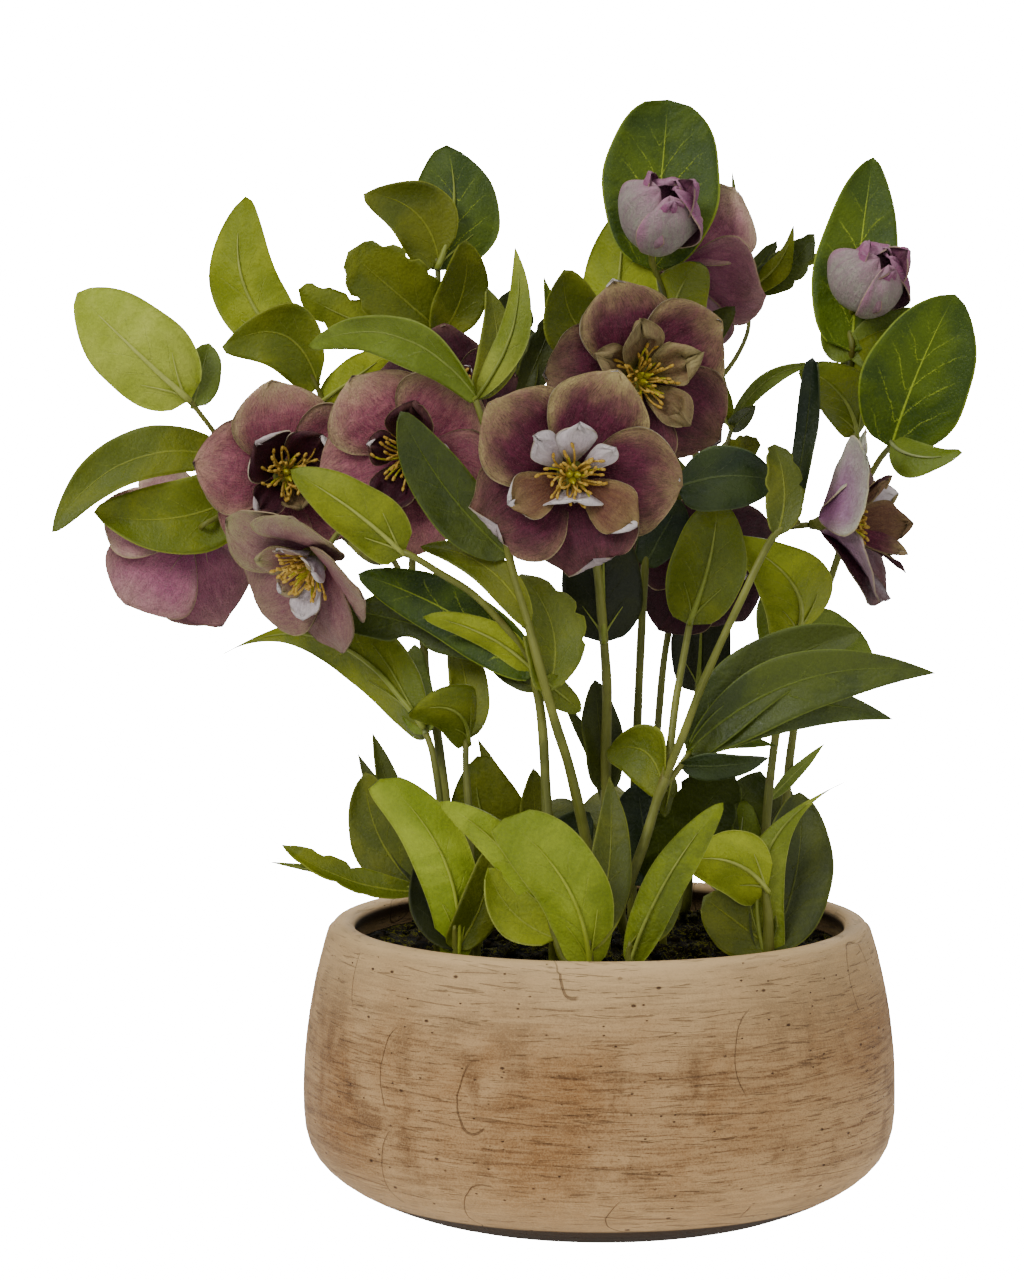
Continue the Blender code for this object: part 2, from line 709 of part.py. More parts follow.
def fused(name, pieces, colour, roughness):
    """One closed body: the pieces joined by a Boolean union on a collection, which is then applied."""
    body = single(name, pieces[0], colour, roughness)
    if len(pieces) == 1:
        return body
    others = bpy.data.collections.new(name + "_pieces")
    bpy.context.scene.collection.children.link(others)
    for mesh in pieces[1:]:
        others.objects.link(bpy.data.objects.new("piece", mesh))
    union = body.modifiers.new("union", "BOOLEAN")
    union.operation = "UNION"
    union.operand_type = "COLLECTION"
    union.collection = others
    union.solver = "MANIFOLD"
    apply_modifiers(body)
    for piece in list(others.objects):
        bpy.data.objects.remove(piece)
    bpy.data.collections.remove(others)
    keep_largest(body)
    return body


def turned_solid(profile, sides):
    """A solid of revolution about Z from (radius, height) points in millimetres, its ends on the axis."""
    work = bmesh.new()
    line = [work.verts.new((radius * MM, 0, height * MM)) for radius, height in profile]
    edges = [work.edges.new(pair) for pair in zip(line, line[1:])]
    bmesh.ops.spin(
        work, geom=line + edges, cent=(0, 0, 0), axis=UP, angle=2 * math.pi, steps=sides, use_merge=True,
    )
    bmesh.ops.remove_doubles(work, verts=work.verts, dist=0.02 * MM)
    return work


def pot_wall(height):
    """The bowl's outer radius at a height, both in millimetres: a bulge from the foot up to the rim."""
    if height < POT_WIDEST_AT:
        share = 1 - height / POT_WIDEST_AT
        return POT_RADIUS - (POT_RADIUS - FOOT_RADIUS) * share**3.5
    share = (height - POT_WIDEST_AT) / (POT_HEIGHT - POT_WIDEST_AT)
    return POT_RADIUS - (POT_RADIUS - RIM_OUTER) * share**2


def build_pot():
    """The bowl: a bulging wall with a rounded rim on a flat foot."""
    bend = 4
    outer = [(pot_wall(height), height) for height in (0, 3, 9, 18, 30, 48, 68, 90, POT_HEIGHT - bend)]
    middle = (RIM_OUTER + RIM_INNER) / 2
    rim = [(middle + 2.4, POT_HEIGHT - 0.6), (middle, POT_HEIGHT), (middle - 2.4, POT_HEIGHT - 0.6)]
    inner = [(pot_wall(height) - WALL, height) for height in (84, 48, 28)]
    floor = [(FOOT_RADIUS + 6, FLOOR_THICK), (0, FLOOR_THICK)]
    profile = [(0, 0), *outer, *rim, (RIM_INNER, POT_HEIGHT - bend), *inner, *floor]
    single("pot", finish_mesh(turned_solid(profile, POT_SIDES), "pot"), TAN, 0.75)


def soil_height(x, y):
    """The lumpy soil's height in millimetres over the point x, y."""
    lumps = math.sin(x * 0.17 + 1.1) * math.cos(y * 0.19 - 0.4) + 0.6 * math.sin(x * 0.33 - y * 0.27)
    return SOIL_TOP + SOIL_LUMP * lumps


def build_soil(roots):
    """The soil fills the bowl up to its lumpy top, with a plain hole for each root (place, radius in mm)."""
    rings = (0, 38, 76)
    edge = RIM_INNER + 1.4
    side = [(edge, SOIL_TOP), (pot_wall(84) - WALL - 1.0, 84), (pot_wall(48) - WALL - 1.0, 48),
            (pot_wall(28) - WALL - 1.2, 28), (FOOT_RADIUS + 5, FLOOR_THICK + GAP), (0, FLOOR_THICK + GAP)]
    work = turned_solid([(radius, SOIL_TOP) for radius in rings] + side, POT_SIDES)
    for vertex in work.verts:
        if abs(vertex.co.z - SOIL_TOP * MM) < 0.1 * MM:
            fade = 1 if math.hypot(vertex.co.x, vertex.co.y) < (edge - 1) * MM else 0
            vertex.co.z += fade * (soil_height(vertex.co.x / MM, vertex.co.y / MM) - SOIL_TOP) * MM
    soil = single("soil", finish_mesh(work, "soil"), EARTH, 0.95)
    cutters = bpy.data.collections.new("holes")
    bpy.context.scene.collection.children.link(cutters)
    for (x, y), radius in roots:
        low = Vector((x, y, SOIL_TOP - HOLE_DEPTH)) * MM
        high = Vector((x, y, SOIL_TOP + HOLE_DEPTH)) * MM
        mesh = rod(low, high, 6, (radius + GAP) * 1.16, (radius + GAP) * 1.16)
        cutter = bpy.data.objects.new("hole", mesh)
        cutter.hide_render = True
        cutter.display_type = "WIRE"
        cutters.objects.link(cutter)
    cut = soil.modifiers.new("holes", "BOOLEAN")
    cut.operation = "DIFFERENCE"
    cut.operand_type = "COLLECTION"
    cut.collection = cutters
    cut.solver = "MANIFOLD"
    apply_modifiers(soil)
    for cutter in list(cutters.objects):
        bpy.data.objects.remove(cutter)
    bpy.data.collections.remove(cutters)


def nearest_on(lines, distance):
    """The point of the lines at which a distance, taken from the point, is shortest."""
    places = [
        start.lerp(end, step / PROBES)
        for line in lines for start, end in zip(line, line[1:]) for step in range(PROBES + 1)
    ]
    return min(places, key=distance)


def stalk_line(shoot, index, ends, earlier):
    """The points of a shoot's stalk in metres, from its root or an earlier stalk to what it carries."""
    stalk = shoot.stalks[index]
    points = [seen(*spot) for spot in stalk.route]
    if index == 0:
        x, y = shoot.root
        points.insert(0, Vector((x, y, SOIL_TOP + CLEAR)) * MM)
    else:
        start = points[0]
        points[0] = nearest_on(earlier, lambda place: (place - start).length)
    if stalk.bloom:
        back, direction = ends[stalk.bloom]
        points.append(back - direction * 9 * MM)
    line = thinned(smooth(points), STALK_STEP)
    if index == 0:
        line.insert(0, Vector((x, y, SOIL_TOP - HOLE_DEPTH + GAP)) * MM)
    if stalk.bloom:
        line.append(back - direction * GAP * MM)
    return line


def half_width(leaf, t, rows):
    """A leaf's half width in millimetres at share t of its length."""
    form = leaf.form
    if t <= 0 or t >= 1:
        return 0
    shape = ((t / form.widest) ** form.widest * ((1 - t) / (1 - form.widest)) ** (1 - form.widest)) ** form.sharp
    notch = form.teeth if form.teeth and t > 0.4 and round(t * rows) % 2 else 0
    return max(1.0, leaf.wide / 2 * shape * (1 - notch))


def leaf_blade(leaf, foot):
    """A leaf's blade from its foot on the stalk, sunk a little way into it."""
    tip = seen(*leaf.tip)
    ahead = (tip - foot).normalized()
    foot = foot - ahead * SUNK * MM
    axis = tip - foot
    side = ahead.cross(EYE - (foot + tip) / 2).normalized()
    slim = leaf.wide < SLIM_LEAF
    short = slim or axis.length < SHORT_LEAF * MM
    rows = 5 if leaf.form.teeth else (3 if short else 4)

    def place(u, t):
        roll = Matrix.Rotation(math.radians(leaf.turn), 3, ahead)
        across = roll @ side
        outward = across.cross(ahead)
        swell = 4 * t * (1 - t)
        rib = foot + axis * t + (outward * leaf.arch + across * leaf.bow) * swell * MM
        half = half_width(leaf, t, rows)
        return rib + (across * u + outward * leaf.cup * u * u) * half * MM

    return sheet(place, 1 if slim else 2, rows, LEAF_THICK)


def build_shoot(shoot, ends):
    """A leafy stem: its stalks and leaves as one body."""
    lines = []
    for index in range(len(shoot.stalks)):
        lines.append(stalk_line(shoot, index, ends, lines))
    pieces = [tube(line, stalk.thick, stalk.thin) for stalk, line in zip(shoot.stalks, lines)]
    for leaf in shoot.leaves:
        target = Vector(leaf.foot)
        pieces.append(leaf_blade(leaf, nearest_on(lines, lambda place: (pixel_of(place) - target).length)))
    fused(shoot.name, pieces, LEAF_GREEN if shoot.name.startswith("shoot") else LIGHT_GREEN, 0.5)


def bloom_sheet(angle, start, length, wide, lift, flare, cup, twist, ruffle, size):
    """A sepal or petal in its bloom's own frame, +Z the way that the bloom faces, as a closed blade."""
    low = math.radians(lift)
    bend = math.radians(flare - lift)
    radius, height = start
    outwards = Vector((math.cos(angle), math.sin(angle), 0))
    sideways = Vector((-math.sin(angle), math.cos(angle), 0))

    def place(u, t):
        slope = low + bend * (t + ROUNDING * t * (1 - u * u))
        far = radius + length * (math.sin(slope) - math.sin(low)) / bend
        high = height + length * (math.cos(low) - math.cos(slope)) / bend
        inward = UP * math.cos(slope) - outwards * math.sin(slope)
        shape = math.sin(math.pi * 0.82 * t) ** 1.05
        half = wide / 2 * shape
        ripple = ruffle * math.sin(5 * t + 2 * u) * abs(u)
        rise = (cup * u * u + twist * u) * half + ripple
        return (outwards * far + UP * high + sideways * half * u + inward * rise) * MM

    return sheet(place, size[0], size[1], SEPAL_THICK)


def build_bloom(bloom):
    """An open bloom: one body of sepals, inner petals and receptacle, and one of stamens and pistils."""
    frame = upright(seen(*bloom.middle), facing(bloom.yaw, bloom.pitch))
    pieces = [rod(Vector((0, 0, -RECEPTACLE)) * MM, Vector((0, 0, 0)) * MM, 6, 2.6, 6.4)]
    for k in range(SEPALS):
        angle = math.radians(bloom.roll) + 2 * math.pi * k / SEPALS
        pieces.append(
            bloom_sheet(angle, SEPAL_START, bloom.sepal * bloom.reach[k], bloom.sepal * SEPAL_WIDE,
                        bloom.lift, bloom.flare, 0.10, 0.18, 0.6, (2, 3))
        )
    for k in range(INNER_PETALS):
        angle = math.radians(bloom.roll + 180 / INNER_PETALS) + 2 * math.pi * k / INNER_PETALS
        pieces.append(
            bloom_sheet(angle, PETAL_START, bloom.sepal * PETAL_LONG, bloom.sepal * PETAL_WIDE,
                        bloom.lift + PETAL_STEEPER, bloom.flare + PETAL_CLOSER, 0.2, 0.06, 0, (2, 2))
        )
    for mesh in pieces:
        mesh.transform(frame)
    fused(f"bloom_{bloom.name}_sepals", pieces, PLUM, 0.6)

    base = GAP
    parts = [rod(Vector((0, 0, base)) * MM, Vector((0, 0, base + 2)) * MM, 6, 4.2, 3.8)]
    for k in range(STAMENS):
        angle = k * math.radians(137.5)
        lean = math.radians(14 + 22 * (k % 3) / 2)
        root = Vector((math.cos(angle), math.sin(angle), 0)) * (2.2 + 0.5 * (k % 3))
        reach = Vector((math.cos(angle) * math.sin(lean), math.sin(angle) * math.sin(lean), math.cos(lean)))
        start = root + Vector((0, 0, base + 1))
        parts.append(rod(start * MM, (start + reach * (13 - 1.2 * (k % 3))) * MM, 3, 0.55, 0.95))
    parts.append(rod(Vector((0, 0, base + 1)) * MM, Vector((0, 0, 12)) * MM, 5, 1.6, 0.9))
    for mesh in parts:
        mesh.transform(frame)
    fused(f"bloom_{bloom.name}_stamens", parts, YELLOW, 0.5)


def bloom_end(bloom):
    """Where a bloom's stalk meets its back, and the direction from there to its front."""
    direction = facing(bloom.yaw, bloom.pitch)
    return seen(*bloom.middle) - direction * RECEPTACLE * MM, direction


def bud_end(bud):
    """Where a bud's stalk meets its back, and the direction from there to its tip."""
    direction = facing(bud.yaw, bud.pitch)
    return seen(*bud.middle) - direction * (bud.radius + 2) * MM, direction


def build_bud(bud):
    """A closed bud: sepals wrapped round each other, on a short receptacle."""
    frame = upright(seen(*bud.middle), facing(bud.yaw, bud.pitch))
    back = -bud.radius - 2
    pieces = [rod(Vector((0, 0, back)) * MM, Vector((0, 0, back + 6)) * MM, 6, 2.2, 4.6)]
    for k in range(WRAPPED):
        angle = 2 * math.pi * k / WRAPPED
        grown = bud.radius * (1 + 0.05 * (k % 3))
        pieces.append(
            bloom_sheet(angle, (1.5, -grown), grown * 2.7, grown * 1.9, 4, 158, 0.42, 0.16, 0, (2, 4))
        )
    for mesh in pieces:
        mesh.transform(frame)
    fused(bud.name, pieces, LILAC, 0.55)


def main():
    for old in list(bpy.data.objects):
        bpy.data.objects.remove(old, do_unlink=True)
    ends = {bloom.name: bloom_end(bloom) for bloom in BLOOMS}
    ends.update({bud.name: bud_end(bud) for bud in BUDS})
    build_pot()
    build_soil([(shoot.root, shoot.stalks[0].thick / 2) for shoot in SHOOTS])
    for shoot in SHOOTS:
        build_shoot(shoot, ends)
    for bloom in BLOOMS:
        build_bloom(bloom)
    for bud in BUDS:
        build_bud(bud)


main()
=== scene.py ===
"""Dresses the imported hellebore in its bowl: leaves with veins, stems, blooms, buds, potting soil and fired clay.

Places on the plant are given by the pixel of the reference photograph where they show and their depth in
millimetres behind the bowl's axis, as in the source of the solids, whose tables are repeated here.
"""

import logging
import math
import random
from collections.abc import Callable, Sequence
from dataclasses import dataclass, replace
from enum import Enum
from typing import ClassVar

import bmesh
import bpy
from mathutils import Matrix, Vector, noise


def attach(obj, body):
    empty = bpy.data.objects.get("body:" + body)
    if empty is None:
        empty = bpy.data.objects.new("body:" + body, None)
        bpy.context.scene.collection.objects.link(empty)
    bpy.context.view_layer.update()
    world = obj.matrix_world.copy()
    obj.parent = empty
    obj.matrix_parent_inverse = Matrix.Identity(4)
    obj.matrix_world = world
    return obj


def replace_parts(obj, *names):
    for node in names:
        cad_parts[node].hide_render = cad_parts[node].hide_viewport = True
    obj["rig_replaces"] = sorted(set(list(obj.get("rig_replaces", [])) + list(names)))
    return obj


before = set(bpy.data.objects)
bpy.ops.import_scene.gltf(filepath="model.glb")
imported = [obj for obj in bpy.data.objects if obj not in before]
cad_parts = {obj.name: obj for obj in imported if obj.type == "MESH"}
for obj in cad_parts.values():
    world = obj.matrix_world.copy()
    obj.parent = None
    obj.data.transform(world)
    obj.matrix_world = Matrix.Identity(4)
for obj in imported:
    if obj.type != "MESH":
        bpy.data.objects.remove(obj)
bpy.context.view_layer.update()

log = logging.getLogger("hellebore")

MM = 0.001
UP = Vector((0, 0, 1))
GOLDEN = math.radians(137.5)
FIFTHS = (0, 0.2, 0.4, 0.6, 0.8, 1)
BODY = "root"
LIT = 0.92  # how much darker a pigment is than it looks in the studio
VEIL = 0.012  # the white that a surface's own sheen adds to it

Rgb = tuple[float, float, float]
Line = list[Vector]
Place = Callable[[float, float], tuple[Vector, Vector, Vector]]

# The bowl and its soil, in millimetres, as in the solids
POT_HEIGHT = 118
POT_RADIUS = 121.5
POT_WIDEST_AT = 48
FOOT_RADIUS = 77
RIM_OUTER = 110
RIM_INNER = 100
WALL = 10
FLOOR_THICK = 12
SOIL_TOP = 106
SOIL_LUMP = 2.2
GAP = 0.3

# Stalks and blooms, in millimetres, as in the solids
FINE_STEP = 2
CLEAR = 5
SUNK = 1.3
ROUNDING = 0.06
RECEPTACLE = 11
STRAIGHT = 9  # how far behind a bloom its stalk starts to run straight into it
ROOTED = 8  # how far a dressed stalk goes down into the soil
SEPALS = 5
INNER_PETALS = 5


@dataclass(frozen=True)
class Viewpoint:
    """Where the photograph was taken from, and how its pixels lie on the plane through the bowl's axis."""

    eye: Vector = Vector((-0.0359, -2.0, 0.4442))
    aim: Vector = Vector((-0.0359, 0.0, 0.2327))
    pixel: float = 0.4075 * MM
    middle: tuple[float, float] = (512, 640)
    long_side: int = 1280

    def axes(self) -> tuple[Vector, Vector, Vector, float]:
        """The forward, right and up directions, and the distance to the bowl's axis."""
        ahead = self.aim - self.eye
        forward = ahead.normalized()
        right = forward.cross(UP).normalized()
        return forward, right, right.cross(forward), ahead.length

    def seen(self, x: float, y: float, depth: float) -> Vector:
        """The point in metres that shows at a pixel.

        Args:
            x: The pixel's column.
            y: The pixel's row.
            depth: Millimetres behind the bowl's axis.

        Returns:
            The point in the object's frame.
        """
        forward, right, up, reach = self.axes()
        ray = forward * reach + right * (x - self.middle[0]) * self.pixel + up * (self.middle[1] - y) * self.pixel
        return self.eye + ray * (1 + depth * MM / reach)

    def pixel_of(self, point: Vector) -> Vector:
        """The pixel at which a point in metres shows."""
        forward, right, up, reach = self.axes()
        ray = (point - self.eye) * (reach / (point - self.eye).dot(forward))
        return Vector((self.middle[0] + ray.dot(right) / self.pixel, self.middle[1] - ray.dot(up) / self.pixel))


VIEW = Viewpoint()


def linear(colour: Rgb) -> tuple[float, float, float, float]:
    """A colour given as the screen shows it, from 0 to 255, as linear light with alpha."""
    parts = [c / 255 for c in colour]
    return (*[c / 12.92 if c <= 0.04045 else ((c + 0.055) / 1.055) ** 2.4 for c in parts], 1.0)


def pigment(colour: Rgb) -> tuple[float, float, float, float]:
    """The pigment that looks like a screen colour once the studio has lit it and its own sheen has veiled it."""
    return (*[max(0.0015, c * LIT - VEIL) for c in linear(colour)[:3]], 1.0)


def set_down(name: str, data: bpy.types.ID) -> bpy.types.Object:
    """A new object in the scene."""
    made = bpy.data.objects.new(name, data)
    bpy.context.scene.collection.objects.link(made)
    return made


class Tree:
    """A node tree with short calls for adding nodes that are already joined up."""

    def __init__(self, tree: bpy.types.NodeTree) -> None:
        """Keeps the tree that nodes are added to."""
        self.tree = tree

    def put(self, kind: str, inputs: dict | None = None, **settings: object) -> bpy.types.Node:
        """Adds a node.

        Args:
            kind: The node's type without its ShaderNode prefix.
            inputs: A value, or the socket to join, for each input by name or number.
            settings: The node's own settings.

        Returns:
            The new node.
        """
        made = self.tree.nodes.new("ShaderNode" + kind)
        for key, value in settings.items():
            setattr(made, key, value)
        for key, value in (inputs or {}).items():
            if isinstance(value, bpy.types.NodeSocket):
                self.tree.links.new(value, made.inputs[key])
            else:
                made.inputs[key].default_value = value
        return made

    def calc(self, operation: str, *values: object) -> bpy.types.NodeSocket:
        """The result of a Math node."""
        return self.put("Math", dict(enumerate(values)), operation=operation).outputs[0]

    def band(self, value: object, low: float, high: float, least: float = 0.0,
             most: float = 1.0) -> bpy.types.NodeSocket:
        """A smooth step from least at low to most at high."""
        inputs = {"Value": value, "From Min": low, "From Max": high, "To Min": least, "To Max": most}
        return self.put("MapRange", inputs, interpolation_type="SMOOTHSTEP").outputs[0]

    def laid(self, colour: object, share: object, over: Rgb, strength: object = None) -> bpy.types.NodeSocket:
        """A colour with a screen colour laid over it by a share, and by a strength if one is given."""
        if strength is not None:
            share = self.calc("MULTIPLY", share, strength)
        return self.put("Mix", {0: share, 6: colour, 7: pigment(over)}, data_type="RGBA").outputs[2]

    def noise(self, vector: object, scale: float, detail: float = 3.0, rough: float = 0.55,
              warp: float = 0.0) -> bpy.types.NodeSocket:
        """The value of a Noise Texture node."""
        inputs = {"Vector": vector, "Scale": scale, "Detail": detail, "Roughness": rough, "Distortion": warp}
        return self.put("TexNoise", inputs).outputs[0]

    def stretched(self, vector: object, scale: tuple[float, float, float]) -> bpy.types.NodeSocket:
        """A vector scaled along each axis."""
        return self.put("Mapping", {"Vector": vector, "Scale": scale}).outputs[0]

    def split(self, vector: object) -> list[bpy.types.NodeSocket]:
        """The three parts of a vector."""
        return list(self.put("SeparateXYZ", {0: vector}).outputs)

    def joined(self, x: object, y: object, z: object) -> bpy.types.NodeSocket:
        """A vector from three parts."""
        return self.put("CombineXYZ", {0: x, 1: y, 2: z}).outputs[0]

    def attribute(self, name: str) -> bpy.types.NodeSocket:
        """A vector that the mesh carries at each of its points."""
        return self.put("Attribute", None, attribute_name=name).outputs["Vector"]

    def spot(self) -> bpy.types.NodeSocket:
        """The place in the object's frame, in metres."""
        return self.put("TexCoord").outputs["Object"]

    def effect(self, shared: "Effect", **inputs: object) -> bpy.types.bpy_prop_collection:
        """The outputs of a shared effect."""
        return self.put("Group", inputs, node_tree=shared.group()).outputs

    def dress(self, colour: object, height: object, deep: float, strength: float) -> None:
        """Joins the shader to a colour, and to a relief that is deep millimetres high."""
        shader = self.tree.nodes["Principled BSDF"]
        self.tree.links.new(colour, shader.inputs["Base Color"])
        bump = self.put("Bump", {"Height": height, "Distance": deep * MM, "Strength": strength})
        self.tree.links.new(bump.outputs[0], shader.inputs["Normal"])


@dataclass(frozen=True)
class Effect:
    """A node group that several finishes share, built at its first use.

    takes is the kind of each input socket by name and gives the names of the outputs, which are all values. build
    adds the nodes, from the input sockets to the output ones.
    """

    name: str
    takes: dict[str, str]
    gives: tuple[str, ...]
    build: Callable[[Tree, dict], dict]

    built: ClassVar[dict[str, bpy.types.NodeTree]] = {}

    def group(self) -> bpy.types.NodeTree:
        """The effect's node group."""
        if self.name not in self.built:
            made = bpy.data.node_groups.new(self.name, "ShaderNodeTree")
            for label, kind in self.takes.items():
                made.interface.new_socket(label, in_out="INPUT", socket_type="NodeSocket" + kind)
            for label in self.gives:
                made.interface.new_socket(label, in_out="OUTPUT", socket_type="NodeSocketFloat")
            inside = made.nodes.new("NodeGroupInput")
            outside = made.nodes.new("NodeGroupOutput")
            results = self.build(Tree(made), {label: inside.outputs[label] for label in self.takes})
            for label, socket in results.items():
                made.links.new(socket, outside.inputs[label])
            self.built[self.name] = made
        return self.built[self.name]


def vein_nodes(tree: Tree, given: dict) -> dict:
    """The nodes of the leaf vein effect: midrib, a few feathery side veins, and flecks close to them."""
    u, t, _ = tree.split(given["Blade"])
    x, _, phase = tree.split(given["Span"])
    wander = tree.calc("MULTIPLY_ADD", tree.noise(given["Span"], 0.12, 3.0), 0.36, -0.18)
    turned = tree.calc("FRACT", tree.calc("ADD", phase, wander))
    near = tree.calc("MULTIPLY", tree.calc("ABSOLUTE", tree.calc("SUBTRACT", turned, 0.5)), 2.0)
    fade = tree.calc("MULTIPLY", tree.band(tree.calc("ABSOLUTE", u), 0.85, 0.35), tree.band(t, 0.92, 0.5))
    feather = tree.noise(given["Span"], 0.9, 4.0, 0.7)
    line = tree.calc("MULTIPLY", tree.band(near, 0.90, 0.99), tree.band(feather, 0.38, 0.58))
    halo = tree.calc("MULTIPLY", tree.band(near, 0.45, 1.0), fade)
    fleck = tree.band(tree.noise(given["Span"], given["Net"], 2.0, 0.7), 0.58, 0.70)
    breadth = tree.band(t, 1.0, 0.0, 0.05, 0.42)
    uneven = tree.calc("MULTIPLY_ADD", feather, 0.5, tree.calc("ABSOLUTE", x))
    rib = tree.calc("MULTIPLY", tree.band(tree.calc("SUBTRACT", uneven, breadth), 0.55, 0.15), tree.band(t, 0.97, 0.7))
    vein = tree.calc("MULTIPLY", line, fade)
    flecks = tree.calc("MULTIPLY", fleck, tree.calc("MULTIPLY_ADD", halo, 0.75, 0.25))
    relief = tree.calc("MULTIPLY_ADD", flecks, 0.12, tree.calc("MULTIPLY", vein, 0.6))
    return {"Rib": rib, "Vein": vein, "Flecks": flecks, "Relief": tree.calc("MULTIPLY_ADD", rib, 0.8, relief)}


def mottle_nodes(tree: Tree, given: dict) -> dict:
    """The nodes of the mottling effect: broad clouds and fine grain over any piece."""
    clouds = tree.noise(given["Vector"], given["Size"], 4.0, 0.6, 0.6)
    grain = tree.noise(given["Vector"], given["Grain"], 3.0, 0.7)
    return {"Clouds": tree.band(clouds, 0.36, 0.66), "Fine": tree.band(grain, 0.3, 0.7)}


def fan_nodes(tree: Tree, given: dict) -> dict:
    """The nodes of the petal effect: streaks that fan out from the foot, a soft margin, its pale edge and the foot."""
    u, t, tone = tree.split(given["Blade"])
    across = tree.calc("ABSOLUTE", u)
    seed = tree.calc("MULTIPLY", tone, 31.0)
    ray = tree.joined(tree.calc("MULTIPLY", u, 9.0), tree.calc("MULTIPLY", t, 4.0), seed)
    hair = tree.joined(tree.calc("MULTIPLY", u, 46.0), tree.calc("MULTIPLY", t, 13.0), seed)
    streak = tree.band(tree.noise(ray, 1.0, 5.0, 0.7, 0.5), 0.38, 0.66)
    vein = tree.calc("MULTIPLY", tree.band(tree.noise(hair, 1.0, 3.0, 0.7, 0.8), 0.48, 0.62), tree.band(t, 1.0, 0.8))
    fleck = tree.band(tree.noise(tree.stretched(given["Span"], (1.5, 0.8, 1.0)), 1.0, 3.0, 0.8, 0.3), 0.50, 0.66)
    blotch = tree.calc("MULTIPLY_ADD", tree.noise(given["Span"], 0.09, 3.0), 0.7, -0.35)
    side = tree.band(tree.calc("ADD", across, blotch), given["Margin"], 1.1)
    end = tree.band(tree.calc("ADD", t, tree.calc("MULTIPLY", blotch, 0.7)), given["Margin"], 1.1)
    return {
        "Streak": streak, "Vein": vein, "Margin": tree.calc("MAXIMUM", side, end),
        "Edge": tree.band(across, 0.97, 0.99), "Foot": tree.band(t, 0.45, 0.1), "Fleck": fleck,
    }


VEINS = Effect("leaf_veins", {"Blade": "Vector", "Span": "Vector", "Net": "Float"},
               ("Rib", "Vein", "Flecks", "Relief"), vein_nodes)
MOTTLE = Effect("mottle", {"Vector": "Vector", "Size": "Float", "Grain": "Float"}, ("Clouds", "Fine"), mottle_nodes)
FAN = Effect("petal_fan", {"Blade": "Vector", "Span": "Vector", "Margin": "Float"},
             ("Streak", "Vein", "Margin", "Edge", "Foot", "Fleck"), fan_nodes)


class Finish:
    """A finish that can make its material."""

    name: str
    built: ClassVar[dict[str, bpy.types.Material]] = {}

    def started(self, roughness: float, specular: float) -> tuple[bpy.types.Material, Tree, bpy.types.Node]:
        """A new material with its tree and its shader.

        Args:
            roughness: The plain roughness, where no node gives it.
            specular: How strong the reflection is.

        Returns:
            The material, its tree and its Principled shader.
        """
        made = bpy.data.materials.new(self.name)
        made.use_nodes = True
        shader = made.node_tree.nodes["Principled BSDF"]
        shader.inputs["Roughness"].default_value = roughness
        shader.inputs["Specular IOR Level"].default_value = specular
        return made, Tree(made.node_tree), shader

    def material(self) -> bpy.types.Material:
        """The finish's material."""
        raise NotImplementedError

    def applied(self) -> bpy.types.Material:
        """The finish's material, made at its first use."""
        if self.name not in self.built:
            self.built[self.name] = self.material()
        return self.built[self.name]


@dataclass(frozen=True)
class LeafFinish(Finish):
    """One face of a leaf: its greens, how plainly its veins show and how glossy it is."""

    name: str
    body: Rgb
    cloud: Rgb
    vein: Rgb
    veins: float = 0.3
    ribs: float = 0.4
    flecks: float = 0.3
    rough: float = 0.5
    specular: float = 0.25

    def material(self) -> bpy.types.Material:
        """Greens clouded over the blade, with midrib, side veins and flecks in relief and a hair-thin pale edge."""
        made, tree, shader = self.started(self.rough, self.specular)
        blade = tree.attribute("blade")
        veins = tree.effect(VEINS, Blade=blade, Span=tree.attribute("span"), Net=1.3)
        mottle = tree.effect(MOTTLE, Vector=tree.spot(), Size=34.0, Grain=800.0)
        u, _, tone = tree.split(blade)
        colour = tree.laid(pigment(self.body), mottle["Clouds"], self.cloud)
        for mask, strength in (("Flecks", self.flecks), ("Vein", self.veins), ("Rib", self.ribs)):
            colour = tree.laid(colour, veins[mask], self.vein, strength)
        colour = tree.laid(colour, tree.band(tree.calc("ABSOLUTE", u), 0.96, 0.99, 0.0, 0.45), self.vein)
        value = tree.calc("MULTIPLY_ADD", tone, 0.36, 0.80)
        value = tree.calc("MULTIPLY_ADD", mottle["Fine"], 0.16, tree.calc("SUBTRACT", value, 0.04))
        toned = tree.put("HueSaturation", {"Color": colour, "Value": value}).outputs[0]
        rough = tree.calc("MULTIPLY_ADD", mottle["Clouds"], 0.16, self.rough - 0.08)
        tree.tree.links.new(rough, shader.inputs["Roughness"])
        height = tree.calc("MULTIPLY_ADD", mottle["Clouds"], 1.6, veins["Relief"])
        tree.dress(toned, tree.calc("MULTIPLY_ADD", mottle["Fine"], 0.45, height), 0.4, 0.8)
        return made


